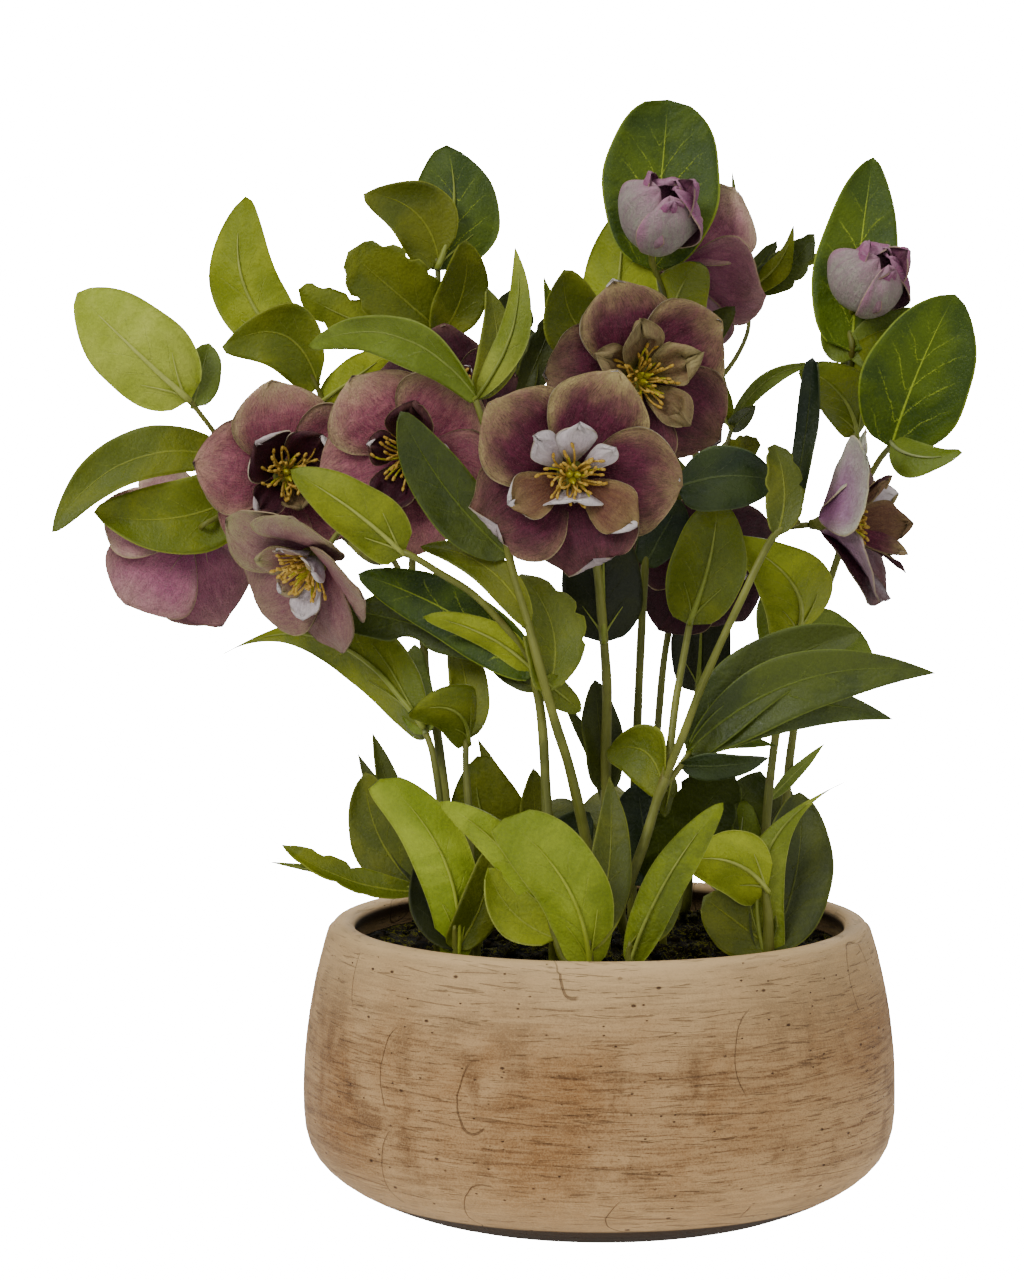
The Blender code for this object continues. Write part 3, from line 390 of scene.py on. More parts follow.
class Look(Enum):
    """The finishes of leaf faces that the photograph shows."""

    DARK = LeafFinish("leaf_dark", (58, 68, 0), (78, 88, 8), (112, 126, 40), 0.3, 0.4, 0.25, 0.42, 0.3)
    SHADE = LeafFinish("leaf_shade", (54, 60, 8), (74, 80, 12), (104, 110, 30), 0.2, 0.3, 0.2)
    SHADOW = LeafFinish("leaf_shadow", (42, 46, 8), (56, 60, 10), (80, 84, 26), 0.2, 0.3, 0.2)
    VEINED = LeafFinish("leaf_veined", (48, 62, 0), (72, 88, 4), (150, 164, 54), 0.8, 0.8, 0.5, 0.46, 0.22)
    MEADOW = LeafFinish("leaf_meadow", (58, 74, 0), (82, 98, 2), (160, 176, 56), 0.8, 0.85, 0.6, 0.5, 0.2)
    BRIGHT = LeafFinish("leaf_bright", (92, 102, 8), (116, 122, 18), (150, 156, 58), 0.35, 0.6, 0.3, 0.48)
    OLIVE = LeafFinish("leaf_olive", (80, 88, 6), (104, 108, 12), (140, 144, 50), 0.3, 0.6, 0.3, 0.48)
    LIGHT = LeafFinish("leaf_light", (112, 122, 26), (140, 148, 44), (176, 182, 92), 0.15, 0.2, 0.2, 0.6)
    PALE = LeafFinish("leaf_pale", (154, 168, 50), (182, 192, 80), (200, 206, 122), 0.15, 0.2, 0.2, 0.6)
    BLACK = LeafFinish("leaf_black", (34, 42, 2), (48, 56, 8), (84, 92, 34), 0.2, 0.3, 0.15, 0.45)
    GREY = LeafFinish("leaf_grey", (92, 106, 34), (114, 128, 50), (146, 156, 80), 0.3, 0.5, 0.25, 0.45)
    BLUE = LeafFinish("leaf_blue", (38, 50, 16), (56, 68, 30), (92, 104, 58), 0.3, 0.5, 0.2, 0.4, 0.35)
    RIBBED = LeafFinish("leaf_ribbed", (104, 116, 26), (134, 142, 50), (166, 172, 90), 0.3, 0.4, 0.2, 0.55)
    BASAL = LeafFinish("leaf_basal", (114, 130, 26), (144, 158, 48), (174, 180, 84), 0.2, 0.4, 0.2, 0.52)
    LEMON = LeafFinish("leaf_lemon", (94, 106, 12), (122, 134, 30), (158, 166, 70), 0.2, 0.4, 0.2, 0.52)
    UNDER = LeafFinish("leaf_under", (112, 122, 40), (134, 142, 60), (166, 170, 94), 0.2, 0.3, 0.2, 0.62)


@dataclass(frozen=True)
class StalkFinish(Finish):
    """A stem: green, browner and paler in bands, with fine lines along it."""

    name: str = "stalk"
    body: Rgb = (88, 92, 24)
    pale: Rgb = (122, 124, 54)
    brown: Rgb = (84, 66, 30)
    rough: float = 0.5

    def material(self) -> bpy.types.Material:
        """Green with lengthwise lines, paler patches and brownish patches."""
        made, tree, _ = self.started(self.rough, 0.4)
        spot = tree.spot()
        mottle = tree.effect(MOTTLE, Vector=spot, Size=26.0, Grain=700.0)
        lines = tree.noise(tree.stretched(tree.attribute("span"), (1.6, 0.03, 0.0)), 1.0, 3.0, 0.6)
        colour = tree.laid(pigment(self.body), mottle["Clouds"], self.pale)
        colour = tree.laid(colour, tree.band(lines, 0.45, 0.7, 0.0, 0.5), self.pale)
        colour = tree.laid(colour, tree.band(tree.noise(spot, 60.0, 3.0), 0.58, 0.74, 0.0, 0.6), self.brown)
        tree.dress(colour, tree.calc("MULTIPLY_ADD", mottle["Fine"], 0.3, lines), 0.25, 0.6)
        return made


@dataclass(frozen=True)
class PetalFinish(Finish):
    """One face of a sepal or petal: its body, the deep streaks that fan over it, its margin and its foot."""

    name: str
    body: Rgb
    deep: Rgb
    margin: Rgb
    foot: Rgb
    border: float = 0.5
    margins: float = 0.85
    streaks: float = 0.5
    veins: float = 0.5
    flecks: float = 0.35
    light: Rgb = (176, 124, 126)
    rough: float = 0.55
    edge: Rgb = (176, 160, 116)

    def material(self) -> bpy.types.Material:
        """Colour that fans out from the foot in streaks and veins, fading to the margin's colour and a pale edge."""
        made, tree, _ = self.started(self.rough, 0.25)
        blade, span = tree.attribute("blade"), tree.attribute("span")
        fan = tree.effect(FAN, Blade=blade, Span=span, Margin=self.border)
        flat = tree.effect(MOTTLE, Vector=span, Size=0.11, Grain=1.3)
        tone = tree.split(blade)[2]
        pale = tree.calc("MULTIPLY_ADD", tone, self.margins, self.margins * 0.12)
        colour: object = pigment(self.body)
        for mask, over, strength in (
            (fan["Streak"], self.deep, self.streaks), (flat["Clouds"], self.deep, 0.3),
            (fan["Margin"], self.margin, pale), (fan["Foot"], self.foot, 0.8),
            (fan["Vein"], self.deep, self.veins), (flat["Fine"], self.deep, 0.25),
            (fan["Fleck"], self.light, self.flecks), (fan["Edge"], self.edge, 0.55),
        ):
            colour = tree.laid(colour, mask, over, strength)
        value = tree.calc("MULTIPLY_ADD", tone, 0.4, 0.8)
        toned = tree.put("HueSaturation", {"Color": colour, "Value": value}).outputs[0]
        height = tree.calc("MULTIPLY_ADD", flat["Fine"], 0.4,
                           tree.calc("MULTIPLY_ADD", fan["Streak"], 0.5, fan["Fleck"]))
        tree.dress(toned, tree.calc("MULTIPLY_ADD", flat["Clouds"], 1.4, height), 0.3, 0.8)
        return made


@dataclass(frozen=True)
class GrainFinish(Finish):
    """A small part of one colour with a second one in its grain, such as an anther or a crumb of soil."""

    name: str
    body: Rgb
    grain: Rgb
    size: float = 600.0
    rough: float = 0.6
    bumps: float = 0.3

    def material(self) -> bpy.types.Material:
        """Two colours mottled together with matching relief."""
        made, tree, _ = self.started(self.rough, 0.3)
        mottle = tree.effect(MOTTLE, Vector=tree.spot(), Size=self.size, Grain=self.size * 4)
        colour = tree.laid(pigment(self.body), mottle["Clouds"], self.grain)
        tree.dress(colour, mottle["Fine"], self.bumps, 0.6)
        return made


@dataclass(frozen=True)
class SoilFinish(Finish):
    """Potting soil: nearly black crumbs with moss in patches."""

    name: str = "potting_soil"
    black: Rgb = (26, 24, 10)
    brown: Rgb = (54, 46, 20)
    moss: Rgb = (122, 120, 22)

    def material(self) -> bpy.types.Material:
        """Dark crumbs of two browns, with flecks of yellow-green moss between them."""
        made, tree, _ = self.started(0.9, 0.1)
        spot = tree.spot()
        mottle = tree.effect(MOTTLE, Vector=spot, Size=260.0, Grain=1400.0)
        colour = tree.laid(pigment(self.black), mottle["Clouds"], self.brown)
        patch = tree.band(tree.noise(spot, 60.0, 3.0), 0.38, 0.6)
        strand = tree.calc("ABSOLUTE", tree.calc("SUBTRACT", tree.noise(spot, 260.0, 2.0, 0.6, 0.8), 0.5))
        grain = tree.band(tree.noise(spot, 620.0, 2.0), 0.58, 0.66)
        fleck = tree.calc("MAXIMUM", tree.band(strand, 0.03, 0.008), grain)
        colour = tree.laid(colour, patch, self.moss, fleck)
        tree.dress(colour, tree.calc("ADD", mottle["Clouds"], mottle["Fine"]), 1.2, 1.0)
        return made


@dataclass(frozen=True)
class ClayFinish(Finish):
    """Brushed fired clay: tan with brown smudges, scratches round the bowl, pinholes and curved hairline cracks."""

    name: str = "fired_clay"
    body: Rgb = (140, 102, 64)
    light: Rgb = (180, 146, 104)
    brown: Rgb = (104, 75, 50)
    # painted light: the pale tan laid towards the top, near the foot and along the rim
    painted_light: Rgb = (218, 186, 138)
    line: Rgb = (62, 40, 24)
    # painted shade: the dark laid on the inner wall below the rim
    inside: Rgb = (62, 48, 34)
    mouth: tuple[float, float] = (0.1035, 0.1005)  # the radii in metres between which the painted shade inside the mouth starts
    lip: tuple[float, float] = (0.1165, 0.1140)  # and the heights

    @staticmethod
    def scratches(tree: Tree, spot: bpy.types.NodeSocket, tilt: float, scale: tuple[float, float, float],
                  low: float) -> bpy.types.NodeSocket:
        """Fine lines that run round the bowl at a slight tilt, where a stretched noise passes low."""
        x, y, z = tree.split(spot)
        sloped = tree.joined(x, y, tree.calc("MULTIPLY_ADD", x, tilt, z))
        return tree.band(tree.noise(tree.stretched(sloped, scale), 1.0, 3.0, 0.6, 0.5), low, low + 0.03)

    @staticmethod
    def arcs(tree: Tree, spot: bpy.types.NodeSocket) -> bpy.types.NodeSocket:
        """Curved hairline cracks: the left side of a ring round some cells' middles."""
        scale, ring = 27.0, 0.34  # cells to a metre, and the ring's radius as a share of a cell
        shake = tree.put("TexNoise", {"Vector": spot, "Scale": 45.0, "Detail": 2.0}).outputs["Color"]
        inputs = {0: shake, 1: (0.004, 0.004, 0.004), 2: spot}
        bent = tree.put("VectorMath", inputs, operation="MULTIPLY_ADD").outputs[0]
        flat = tree.stretched(bent, (1.0, 1.0, 0.6))
        cells = tree.put("TexVoronoi", {"Vector": flat, "Scale": scale})
        off = tree.put("VectorMath", {0: flat, 1: cells.outputs["Position"]}, operation="SUBTRACT").outputs[0]
        x, y, z = tree.split(off)
        wide = tree.calc("ABSOLUTE", tree.calc("SUBTRACT", cells.outputs["Distance"], ring))
        line = tree.band(wide, 0.0065, 0.002)
        left = tree.band(x, 0.0, -0.002)
        upright = tree.band(tree.calc("ABSOLUTE", z), ring / scale * 0.85, ring / scale * 0.6)
        chosen = tree.band(tree.split(cells.outputs["Color"])[1], 0.20, 0.22)
        return tree.calc("MULTIPLY", tree.calc("MULTIPLY", line, left), tree.calc("MULTIPLY", upright, chosen))

    @staticmethod
    def pits(tree: Tree, spot: bpy.types.NodeSocket) -> bpy.types.NodeSocket:
        """Pinholes of two sizes, one in each chosen cell."""
        hole: object = 0.0
        for scale, size, few in ((110.0, 0.10, 0.45), (260.0, 0.14, 0.70)):
            cells = tree.put("TexVoronoi", {"Vector": tree.stretched(spot, (0.7, 0.7, 1.3)), "Scale": scale})
            chosen = tree.band(tree.split(cells.outputs["Color"])[0], few, few + 0.04)
            pit = tree.calc("MULTIPLY", tree.band(cells.outputs["Distance"], size, size * 0.4), chosen)
            hole = tree.calc("MAXIMUM", hole, pit)
        return hole

    def material(self) -> bpy.types.Material:
        """Clay whose lines run round the bowl, with painted light towards the rim and at the foot and painted shade
        inside.
        """
        made, tree, _ = self.started(0.6, 0.15)
        spot = tree.spot()
        x, y, z = tree.split(spot)
        broad = tree.noise(spot, 13.0, 5.0, 0.65, 0.6)
        smudge = tree.noise(tree.stretched(spot, (1.2, 1.2, 0.8)), 34.0, 4.0, 0.6, 0.4)
        bands = tree.noise(tree.stretched(spot, (9.0, 9.0, 170.0)), 1.0, 4.0, 0.65, 0.5)
        brush = tree.noise(tree.stretched(spot, (48.0, 48.0, 760.0)), 1.0, 5.0, 0.75, 0.5)
        grain = tree.noise(spot, 1300.0, 3.0, 0.75)
        scratch = tree.calc("MAXIMUM", self.scratches(tree, spot, 0.07, (30.0, 30.0, 760.0), 0.635),
                            self.scratches(tree, spot, -0.05, (55.0, 55.0, 1150.0), 0.64))
        arc = self.arcs(tree, spot)
        hole = self.pits(tree, spot)
        # Painted light by height: lighter towards the top where light falls from above, near the foot where it comes
        # back off the floor, and a painted highlight along the rim
        top = (0.6 * POT_HEIGHT * MM, POT_HEIGHT * MM)
        foot = (0.36 * POT_HEIGHT * MM, 0.1 * POT_HEIGHT * MM)
        rim = ((POT_HEIGHT - 5) * MM, (POT_HEIGHT - 1) * MM)
        colour: object = pigment(self.body)
        for pattern, edges, most, over in (
            (broad, (0.34, 0.64), 1.0, self.light), (smudge, (0.50, 0.70), 0.8, self.brown),
            (bands, (0.44, 0.70), 0.6, self.brown), (brush, (0.50, 0.66), 0.6, self.light),
            (brush, (0.50, 0.36), 0.75, self.brown), (grain, (0.48, 0.64), 0.4, self.light),
            (grain, (0.50, 0.36), 0.4, self.brown), (z, top, 0.5, self.painted_light), (z, foot, 0.35, self.painted_light),
        ):
            colour = tree.laid(colour, tree.band(pattern, *edges, 0.0, most), over)
        for mask, over, strength in (
            (scratch, self.line, 0.42), (arc, self.line, 0.55), (hole, self.line, 0.85),
            (tree.band(z, *rim), self.painted_light, 0.45),
        ):
            colour = tree.laid(colour, mask, over, strength)
        # Painted shade: the inner wall below the rim is laid dark, where shade falls inside the bowl
        radius = tree.calc("SQRT", tree.calc("MULTIPLY_ADD", x, x, tree.calc("MULTIPLY", y, y)))
        inner = tree.calc("MULTIPLY", tree.band(radius, *self.mouth), tree.band(z, *self.lip))
        colour = tree.laid(colour, inner, self.inside)
        height = tree.calc("MULTIPLY_ADD", grain, 0.6, tree.calc("MULTIPLY_ADD", brush, 1.2, bands))
        for mask, depth in ((scratch, -1.2), (hole, -2.4), (arc, -1.8)):
            height = tree.calc("MULTIPLY_ADD", mask, depth, height)
        tree.dress(colour, height, 0.5, 0.8)
        return made


@dataclass(frozen=True)
class FloorFinish(Finish):
    """A plain pale floor that fades out away from the object."""

    name: str = "floor"
    white: Rgb = (244, 243, 240)
    shown: float = 22.0  # how much brighter it is to the camera than the light that it gives
    given: float = 0.5
    fade: tuple[float, float] = (0.2, 0.75)

    def material(self) -> bpy.types.Material:
        """Matt white, fading out over a range of metres from the bowl's axis."""
        made, tree, shader = self.started(0.9, 0.1)
        shader.inputs["Base Color"].default_value = linear(self.white)
        shader.inputs["Emission Color"].default_value = linear(self.white)
        ray = tree.put("LightPath").outputs["Is Camera Ray"]
        tree.tree.links.new(tree.calc("MULTIPLY_ADD", ray, self.shown, self.given), shader.inputs["Emission Strength"])
        away = tree.put("VectorMath", {0: tree.spot()}, operation="LENGTH").outputs["Value"]
        tree.tree.links.new(tree.band(away, *self.fade, 1.0, 0.0), shader.inputs["Alpha"])
        return made


class Mould:
    """A mesh in the making, whose points carry their place on the blade or stalk that they belong to.

    The attribute blade holds (across from -1 to 1, along from 0 to 1, tone), and span holds (across in
    millimetres, along in millimetres, vein phase).
    """

    MERGED = 0.004  # points closer than this many millimetres become one

    def __init__(self) -> None:
        """Starts an empty mesh with its two attributes and its list of finishes."""
        self.work = bmesh.new()
        self.blade = self.work.verts.layers.float_vector.new("blade")
        self.span = self.work.verts.layers.float_vector.new("span")
        self.finishes: list[Finish] = []

    def index_of(self, finish: Finish) -> int:
        """The material slot of a finish, added at its first use."""
        if finish not in self.finishes:
            self.finishes.append(finish)
        return self.finishes.index(finish)

    @staticmethod
    def faces_of(verts: list) -> list:
        """The faces round some vertices."""
        return list({face for vertex in verts for face in vertex.link_faces})

    def paint(self, faces: list, finish: Finish) -> None:
        """Shades faces smooth and gives them a finish."""
        for face in faces:
            face.smooth = True
            face.material_index = self.index_of(finish)

    def grid(self, across: int, along: int, place: Place) -> list:
        """A grid moved to a formula's places.

        Args:
            across: Cells across.
            along: Cells along.
            place: Gives the point, the blade attribute and the span attribute at (-1..1, 0..1).

        Returns:
            The grid's vertices, with those that fell together merged.
        """
        made = bmesh.ops.create_grid(self.work, x_segments=across, y_segments=along, size=1)["verts"]
        for vertex in made:
            u, t = vertex.co.x, (vertex.co.y + 1) / 2
            vertex.co, vertex[self.blade], vertex[self.span] = place(u, t)
        bmesh.ops.remove_doubles(self.work, verts=made, dist=self.MERGED * MM)
        return [vertex for vertex in made if vertex.is_valid]

    def thickened(self, verts: list, thick: float, front: Finish, back: Finish) -> None:
        """Turns a sheet into a closed blade.

        Args:
            verts: The sheet's vertices.
            thick: Its thickness in millimetres.
            front: The finish of the side that its normals point to, and of its edge.
            back: The finish of the other side.
        """
        sheet = self.faces_of(verts)
        self.paint(sheet, front)
        for face in sheet:
            face.normal_update()
        for vertex in verts:
            vertex.normal_update()
        raised = bmesh.ops.extrude_face_region(self.work, geom=sheet, use_keep_orig=True)["geom"]
        for item in raised:
            if isinstance(item, bmesh.types.BMVert):
                item.normal_update()
                item.co += item.normal * thick * MM
        bmesh.ops.reverse_faces(self.work, faces=sheet)
        self.paint(sheet, back)

    def sweep(self, line: Line, radius: Callable[[float], float], sides: int, finish: Finish,
              tone: float = 0.5) -> None:
        """A closed round stalk along a line.

        Args:
            line: The points of its middle line, in metres.
            radius: Its radius in millimetres at a share of its length.
            sides: How many sides it has.
            finish: Its finish.
            tone: Its tone, from 0 to 1.
        """
        line = [line[0], *line, line[-1]]
        steps = len(line) - 1
        frames = carried_frames(line)
        length = sum((b - a).length for a, b in zip(line, line[1:])) / MM

        def place(u: float, t: float) -> tuple[Vector, Vector, Vector]:
            """The stalk's surface, closed to a point at both ends."""
            k = round(t * steps)
            size = 0.0 if k in (0, steps) else radius((k - 1) / (steps - 2)) * MM
            angle = math.pi * u
            side, lift = frames[k]
            point = line[k] + (side * math.cos(angle) + lift * math.sin(angle)) * size
            return point, Vector((u, t, tone)), Vector((angle * size / MM, t * length, tone * 40))

        verts = self.grid(sides, steps, place)
        faces = self.faces_of(verts)
        bmesh.ops.recalc_face_normals(self.work, faces=faces)
        self.paint(faces, finish)

    def stepped(self, rings: Sequence[tuple[float, float]], sides: int, finish: Finish) -> None:
        """A closed round body along Z through rings of (height, radius), in millimetres."""
        line = [Vector((0, 0, height)) * MM for height, _ in rings]
        self.sweep(line, lambda t: rings[round(t * (len(rings) - 1))][1], sides, finish)

    def lump(self, place: Vector, size: Vector, finish: Finish, rough: float, seed: float, detail: int = 1) -> None:
        """A small uneven lump.

        Args:
            place: Its middle, in metres.
            size: Its half sizes, in metres.
            finish: Its finish.
            rough: How uneven it is, as a share of its size.
            seed: Chooses its unevenness.
            detail: The subdivisions of the sphere that it starts from.
        """
        made = bmesh.ops.create_icosphere(self.work, subdivisions=detail, radius=1)["verts"]
        for vertex in made:
            spot = vertex.co * (1 + rough * noise.noise(vertex.co * 1.7 + Vector((seed, seed * 3, 0))))
            vertex.co = place + Vector((spot.x * size.x, spot.y * size.y, spot.z * size.z))
        self.paint(self.faces_of(made), finish)

    def turned(self, profile: list[tuple[float, float]], sides: int, finish: Finish) -> list:
        """A solid of revolution about Z from (radius, height) points in millimetres, its ends on the axis."""
        line = [self.work.verts.new((radius * MM, 0, height * MM)) for radius, height in profile]
        edges = [self.work.edges.new(pair) for pair in zip(line, line[1:])]
        bmesh.ops.spin(self.work, geom=line + edges, cent=(0, 0, 0), axis=UP, angle=2 * math.pi, steps=sides,
                       use_merge=True)
        bmesh.ops.remove_doubles(self.work, verts=self.work.verts, dist=self.MERGED * MM)
        bmesh.ops.recalc_face_normals(self.work, faces=self.work.faces)
        self.paint(self.work.faces, finish)
        return list(self.work.verts)

    def finished(self, name: str, node: str, frame_of: Matrix | None = None) -> bpy.types.Object:
        """The mesh as a piece that stands for a node of the solids.

        Args:
            name: The piece's name.
            node: The node that it replaces.
            frame_of: Carries the mesh from its own frame to the object's.

        Returns:
            The piece, at the origin, riding on the root body.
        """
        if frame_of is not None:
            self.work.transform(frame_of)
        mesh = bpy.data.meshes.new(name)
        self.work.to_mesh(mesh)
        self.work.free()
        for finish in self.finishes:
            mesh.materials.append(finish.applied())
        piece = set_down(name, mesh)
        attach(piece, BODY)
        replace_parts(piece, node)
        return piece


def carried_frames(line: Line) -> list[tuple[Vector, Vector]]:
    """Two directions across a line at each of its points, which turn as little as they can along it."""
    frames = []
    side = None
    for before, after in zip([line[0], *line], [*line[1:], line[-1]]):
        ahead = after - before
        ahead = ahead.normalized() if ahead.length > 0 else UP
        if side is None:
            side = ahead.orthogonal()
        side = (side - ahead * side.dot(ahead)).normalized()
        frames.append((side.copy(), ahead.cross(side)))
    return frames


def facing(yaw: float, pitch: float) -> Vector:
    """The direction that is yaw degrees right of the viewer and pitch degrees up."""
    yaw, pitch = math.radians(yaw), math.radians(pitch)
    return Vector((math.sin(yaw) * math.cos(pitch), -math.cos(yaw) * math.cos(pitch), math.sin(pitch)))


def upright(middle: Vector, direction: Vector) -> Matrix:
    """A matrix that carries +Z to direction and +Y as near to upwards as it can be."""
    up = (UP - direction * UP.dot(direction)).normalized()
    side = up.cross(direction)
    turned = Matrix((side, up, direction)).transposed().to_4x4()
    return Matrix.Translation(middle) @ turned


def smooth(points: Line) -> Line:
    """Points some 2 mm apart on a smooth curve through the given ones."""
    ends = [points[0] * 2 - points[1], *points, points[-1] * 2 - points[-2]]
    curve = []
    for before, start, end, after in zip(ends, ends[1:], ends[2:], ends[3:]):
        pieces = max(1, round((end - start).length / (FINE_STEP * MM)))
        for i in range(pieces):
            t = i / pieces
            curve.append(
                0.5 * (2 * start + (end - before) * t + (2 * before - 5 * start + 4 * end - after) * t**2
                       + (3 * start - before - 3 * end + after) * t**3)
            )
    return [*curve, points[-1]]


def nearest_on(lines: list[Line], distance: Callable[[Vector], float]) -> Vector:
    """The point of the lines at which a distance, taken from the point, is shortest."""
    return min((point for line in lines for point in line), key=distance)


@dataclass(frozen=True)
class Outline:
    """How a leaf's width runs along it: where it is widest, how sharp its ends are, how deep and many its teeth."""

    widest: float
    sharp: float
    teeth: float = 0.0
    count: float = 4.5


OVAL = Outline(0.42, 1.1)
BROAD = Outline(0.33, 1.0)
ROUND = Outline(0.5, 0.92)
LANCE = Outline(0.4, 1.6)
STRAP = Outline(0.55, 0.62)
TAPER = Outline(0.21, 2.5)
TOOTHED = Outline(0.52, 0.95, 0.2)
TOOTHED_LANCE = Outline(0.5, 1.5, 0.2)
LOBED = Outline(0.5, 1.0, 0.5, 2.6)


@dataclass(frozen=True)
class Leaf:
    """A leaf by its foot (pixel), its tip (pixel, pixel, depth) and its form, in millimetres and degrees.

    turn is how far the blade is rolled about its rib: 0 shows the upper face, 180 the underside.
    arch bends the rib towards the upper face, bow bends it sideways and cup lifts the edges. look is the
    finish of the face that the photograph shows. wave and fold shape the blade finely.
    """

    foot: tuple
    tip: tuple
    wide: float
    look: Look
    turn: float = 0
    arch: float = 0
    bow: float = 0
    cup: float = 0.15
    form: Outline = OVAL
    wave: float = 1.3
    fold: float = 0.12

    COLUMNS = 14
    STEP = 2.4  # the length of a row of faces, in millimetres
    FEWEST = 12
    SIDE_VEINS = 5.2  # how many side veins a long leaf has on each side
    VEIN_GAP = 6.0
    THICK = 0.6
    RIB_REACH = 0.8  # how far the raised rib runs along the underside
    RIB_THICK = (0.3, 0.026)  # the foot of the rib, and what each millimetre of the leaf's width adds to it
    SIDE_RIB_WIDE = 22  # leaves wider than this have two short side ribs
    CALM = 6  # where half the blade is narrower than this, its waves get lower

    def half_width(self, t: float, cut: float) -> float:
        """Half the blade's width in millimetres at share t of its length, less the cut of its margin."""
        form = self.form
        if t <= 0 or t >= 1:
            return 0
        shape = (t / form.widest) ** form.widest * ((1 - t) / (1 - form.widest)) ** (1 - form.widest)
        return self.wide / 2 * shape**form.sharp * (1 - cut)

    def margin_cut(self, t: float, side: int, seed: float) -> float:
        """How deep the margin is cut at share t, as a share of the width: teeth or lobes, or hardly at all."""
        if self.form.teeth and t > 0.3:
            turn = math.cos(2 * math.pi * (t * self.form.count + seed + 0.2 * side))
            return self.form.teeth * 1.2 * max(0.0, turn) ** 2 * min(1.0, (t - 0.3) * 6)
        return 0.02 + 0.02 * math.sin(t * 13 + seed * 9 + side)

    def build(self, mould: Mould, foot: Vector, number: int) -> None:
        """Adds the leaf's blade and the rib on its underside to a mesh.

        Args:
            mould: The mesh that takes it.
            foot: Where its rib meets its stalk, in metres.
            number: Chooses its own waves and tone.
        """
        draw = random.Random(number * 7 + 3)
        seed, tone = draw.random(), draw.random()
        phase, waves = draw.uniform(0, 6.3), draw.uniform(0.9, 1.7)
        curl, lean = draw.uniform(-0.05, 0.05), draw.uniform(-0.07, 0.07)
        tip = VIEW.seen(*self.tip)
        ahead = (tip - foot).normalized()
        foot = foot - ahead * SUNK * MM
        axis = tip - foot
        side = ahead.cross(VIEW.eye - (foot + tip) / 2).normalized()
        length = axis.length / MM
        rows = max(self.FEWEST, round(length / self.STEP))
        spacing = max(self.VEIN_GAP, length / self.SIDE_VEINS)

        def surface(u: float, t: float, below: float = 0.0) -> tuple[Vector, float]:
            """The blade's upper face, or a point below it, and its half width there."""
            roll = Matrix.Rotation(math.radians(self.turn), 3, ahead)
            across = roll @ side
            outward = across.cross(ahead)
            swell = 4 * t * (1 - t)
            rib = foot + axis * t + (outward * self.arch + across * self.bow) * swell * MM
            half = self.half_width(t, self.margin_cut(t, 1 if u > 0 else -1, seed) * abs(u) ** 3)
            half *= 1 + lean * (1 if u > 0 else -1)
            lift = self.cup * u * u * half + self.fold * (abs(u) - 0.5) * half
            calm = min(1, half / self.CALM)
            ripple = self.wave * u * u * math.sin(waves * 6.28 * t + phase + (1.9 if u < 0 else 0)) * calm
            flow = 0.7 * noise.noise(Vector((u * half * 0.12, t * length * 0.09, number * 3.1))) * calm
            height = lift + ripple + flow + curl * length * t**4 - below
            return rib + (across * u * half + outward * height) * MM, half

        def place(u: float, t: float) -> tuple[Vector, Vector, Vector]:
            """The blade's upper face with its attributes."""
            spread = abs(u) ** 1.15 * (1 if u > 0 else -1)
            point, half = surface(spread, t)
            reach = abs(spread) * half
            veins = (t * length - reach * (1.9 - 0.7 * abs(spread))) / spacing + (0.45 if u < 0 else 0)
            return point, Vector((spread if 0 < t < 1 else 0, t, tone)), Vector((spread * half, t * length, veins))

        verts = mould.grid(self.COLUMNS, rows, place)
        shown = self.look.value
        under = 90 < self.turn % 360 < 270
        hidden = Look.MEADOW.value if under else Look.UNDER.value
        if under:
            mould.thickened(verts, self.THICK, hidden, shown)
        else:
            mould.thickened(verts, self.THICK, shown, hidden)
        ribbed = RIBS.get(self.look, RIB) if under else RIB
        thick = self.RIB_THICK[0] + self.RIB_THICK[1] * self.wide
        steps = max(6, round(length / 4))
        line = [surface(0, self.RIB_REACH * s, thick * 0.95 * (1 - s) + 0.2)[0]
                for s in (k / steps for k in range(steps + 1))]
        mould.sweep(line, lambda s: thick * (1 - s) ** 0.8 + 0.12, 8, ribbed, tone)
        if self.wide > self.SIDE_RIB_WIDE:
            for way in (-1, 1):
                line = [surface(way * 0.5 * s, 0.04 + 0.26 * s, 0.5)[0] for s in FIFTHS]
                mould.sweep(line, lambda s: 0.14 + thick * 0.4 * (1 - s), 6, ribbed, tone)


@dataclass(frozen=True)
class Stalk:
    """A stalk along its route's points (pixel, pixel, depth), with its thickness at both ends in millimetres."""

    route: tuple
    thick: float = 5.0
    thin: float = 3.4
    bloom: str = ""

    SIDES = 16
    COLLAR = 0.16  # how much thicker it is at a joint, as a share
    COLLAR_LONG = 3.0
    UNEVEN = 0.03
    JOINT_NEAR = 2.5  # a stalk whose start is within this many millimetres of the line branches off here

    def build(self, mould: Mould, line: Line, number: int, joints: list[Vector]) -> None:
        """Adds the stalk to a mesh.

        Args:
            mould: The mesh that takes it.
            line: Its middle line in metres, from its foot to its end.
            number: Chooses its own tone.
            joints: Where other stalks branch off, in metres.
        """
        marks = []
        for joint in joints:
            nearest = min(range(len(line)), key=lambda k: (line[k] - joint).length)
            if (line[nearest] - joint).length < self.JOINT_NEAR * MM:
                marks.append(nearest / (len(line) - 1))
        length = len(line) * FINE_STEP

        def radius(t: float) -> float:
            """The stalk's radius, a little thicker at its joints and its foot."""
            plain = (self.thick + (self.thin - self.thick) * t) / 2
            swell = sum(math.exp(-(((t - mark) * length / self.COLLAR_LONG) ** 2)) for mark in marks)
            uneven = self.UNEVEN * math.sin(t * length * 0.21 + number)
            return plain * (1 + self.COLLAR * min(1, swell) + uneven)

        mould.sweep(line, radius, self.SIDES, STALK_FINISH, (number * 0.37) % 1)


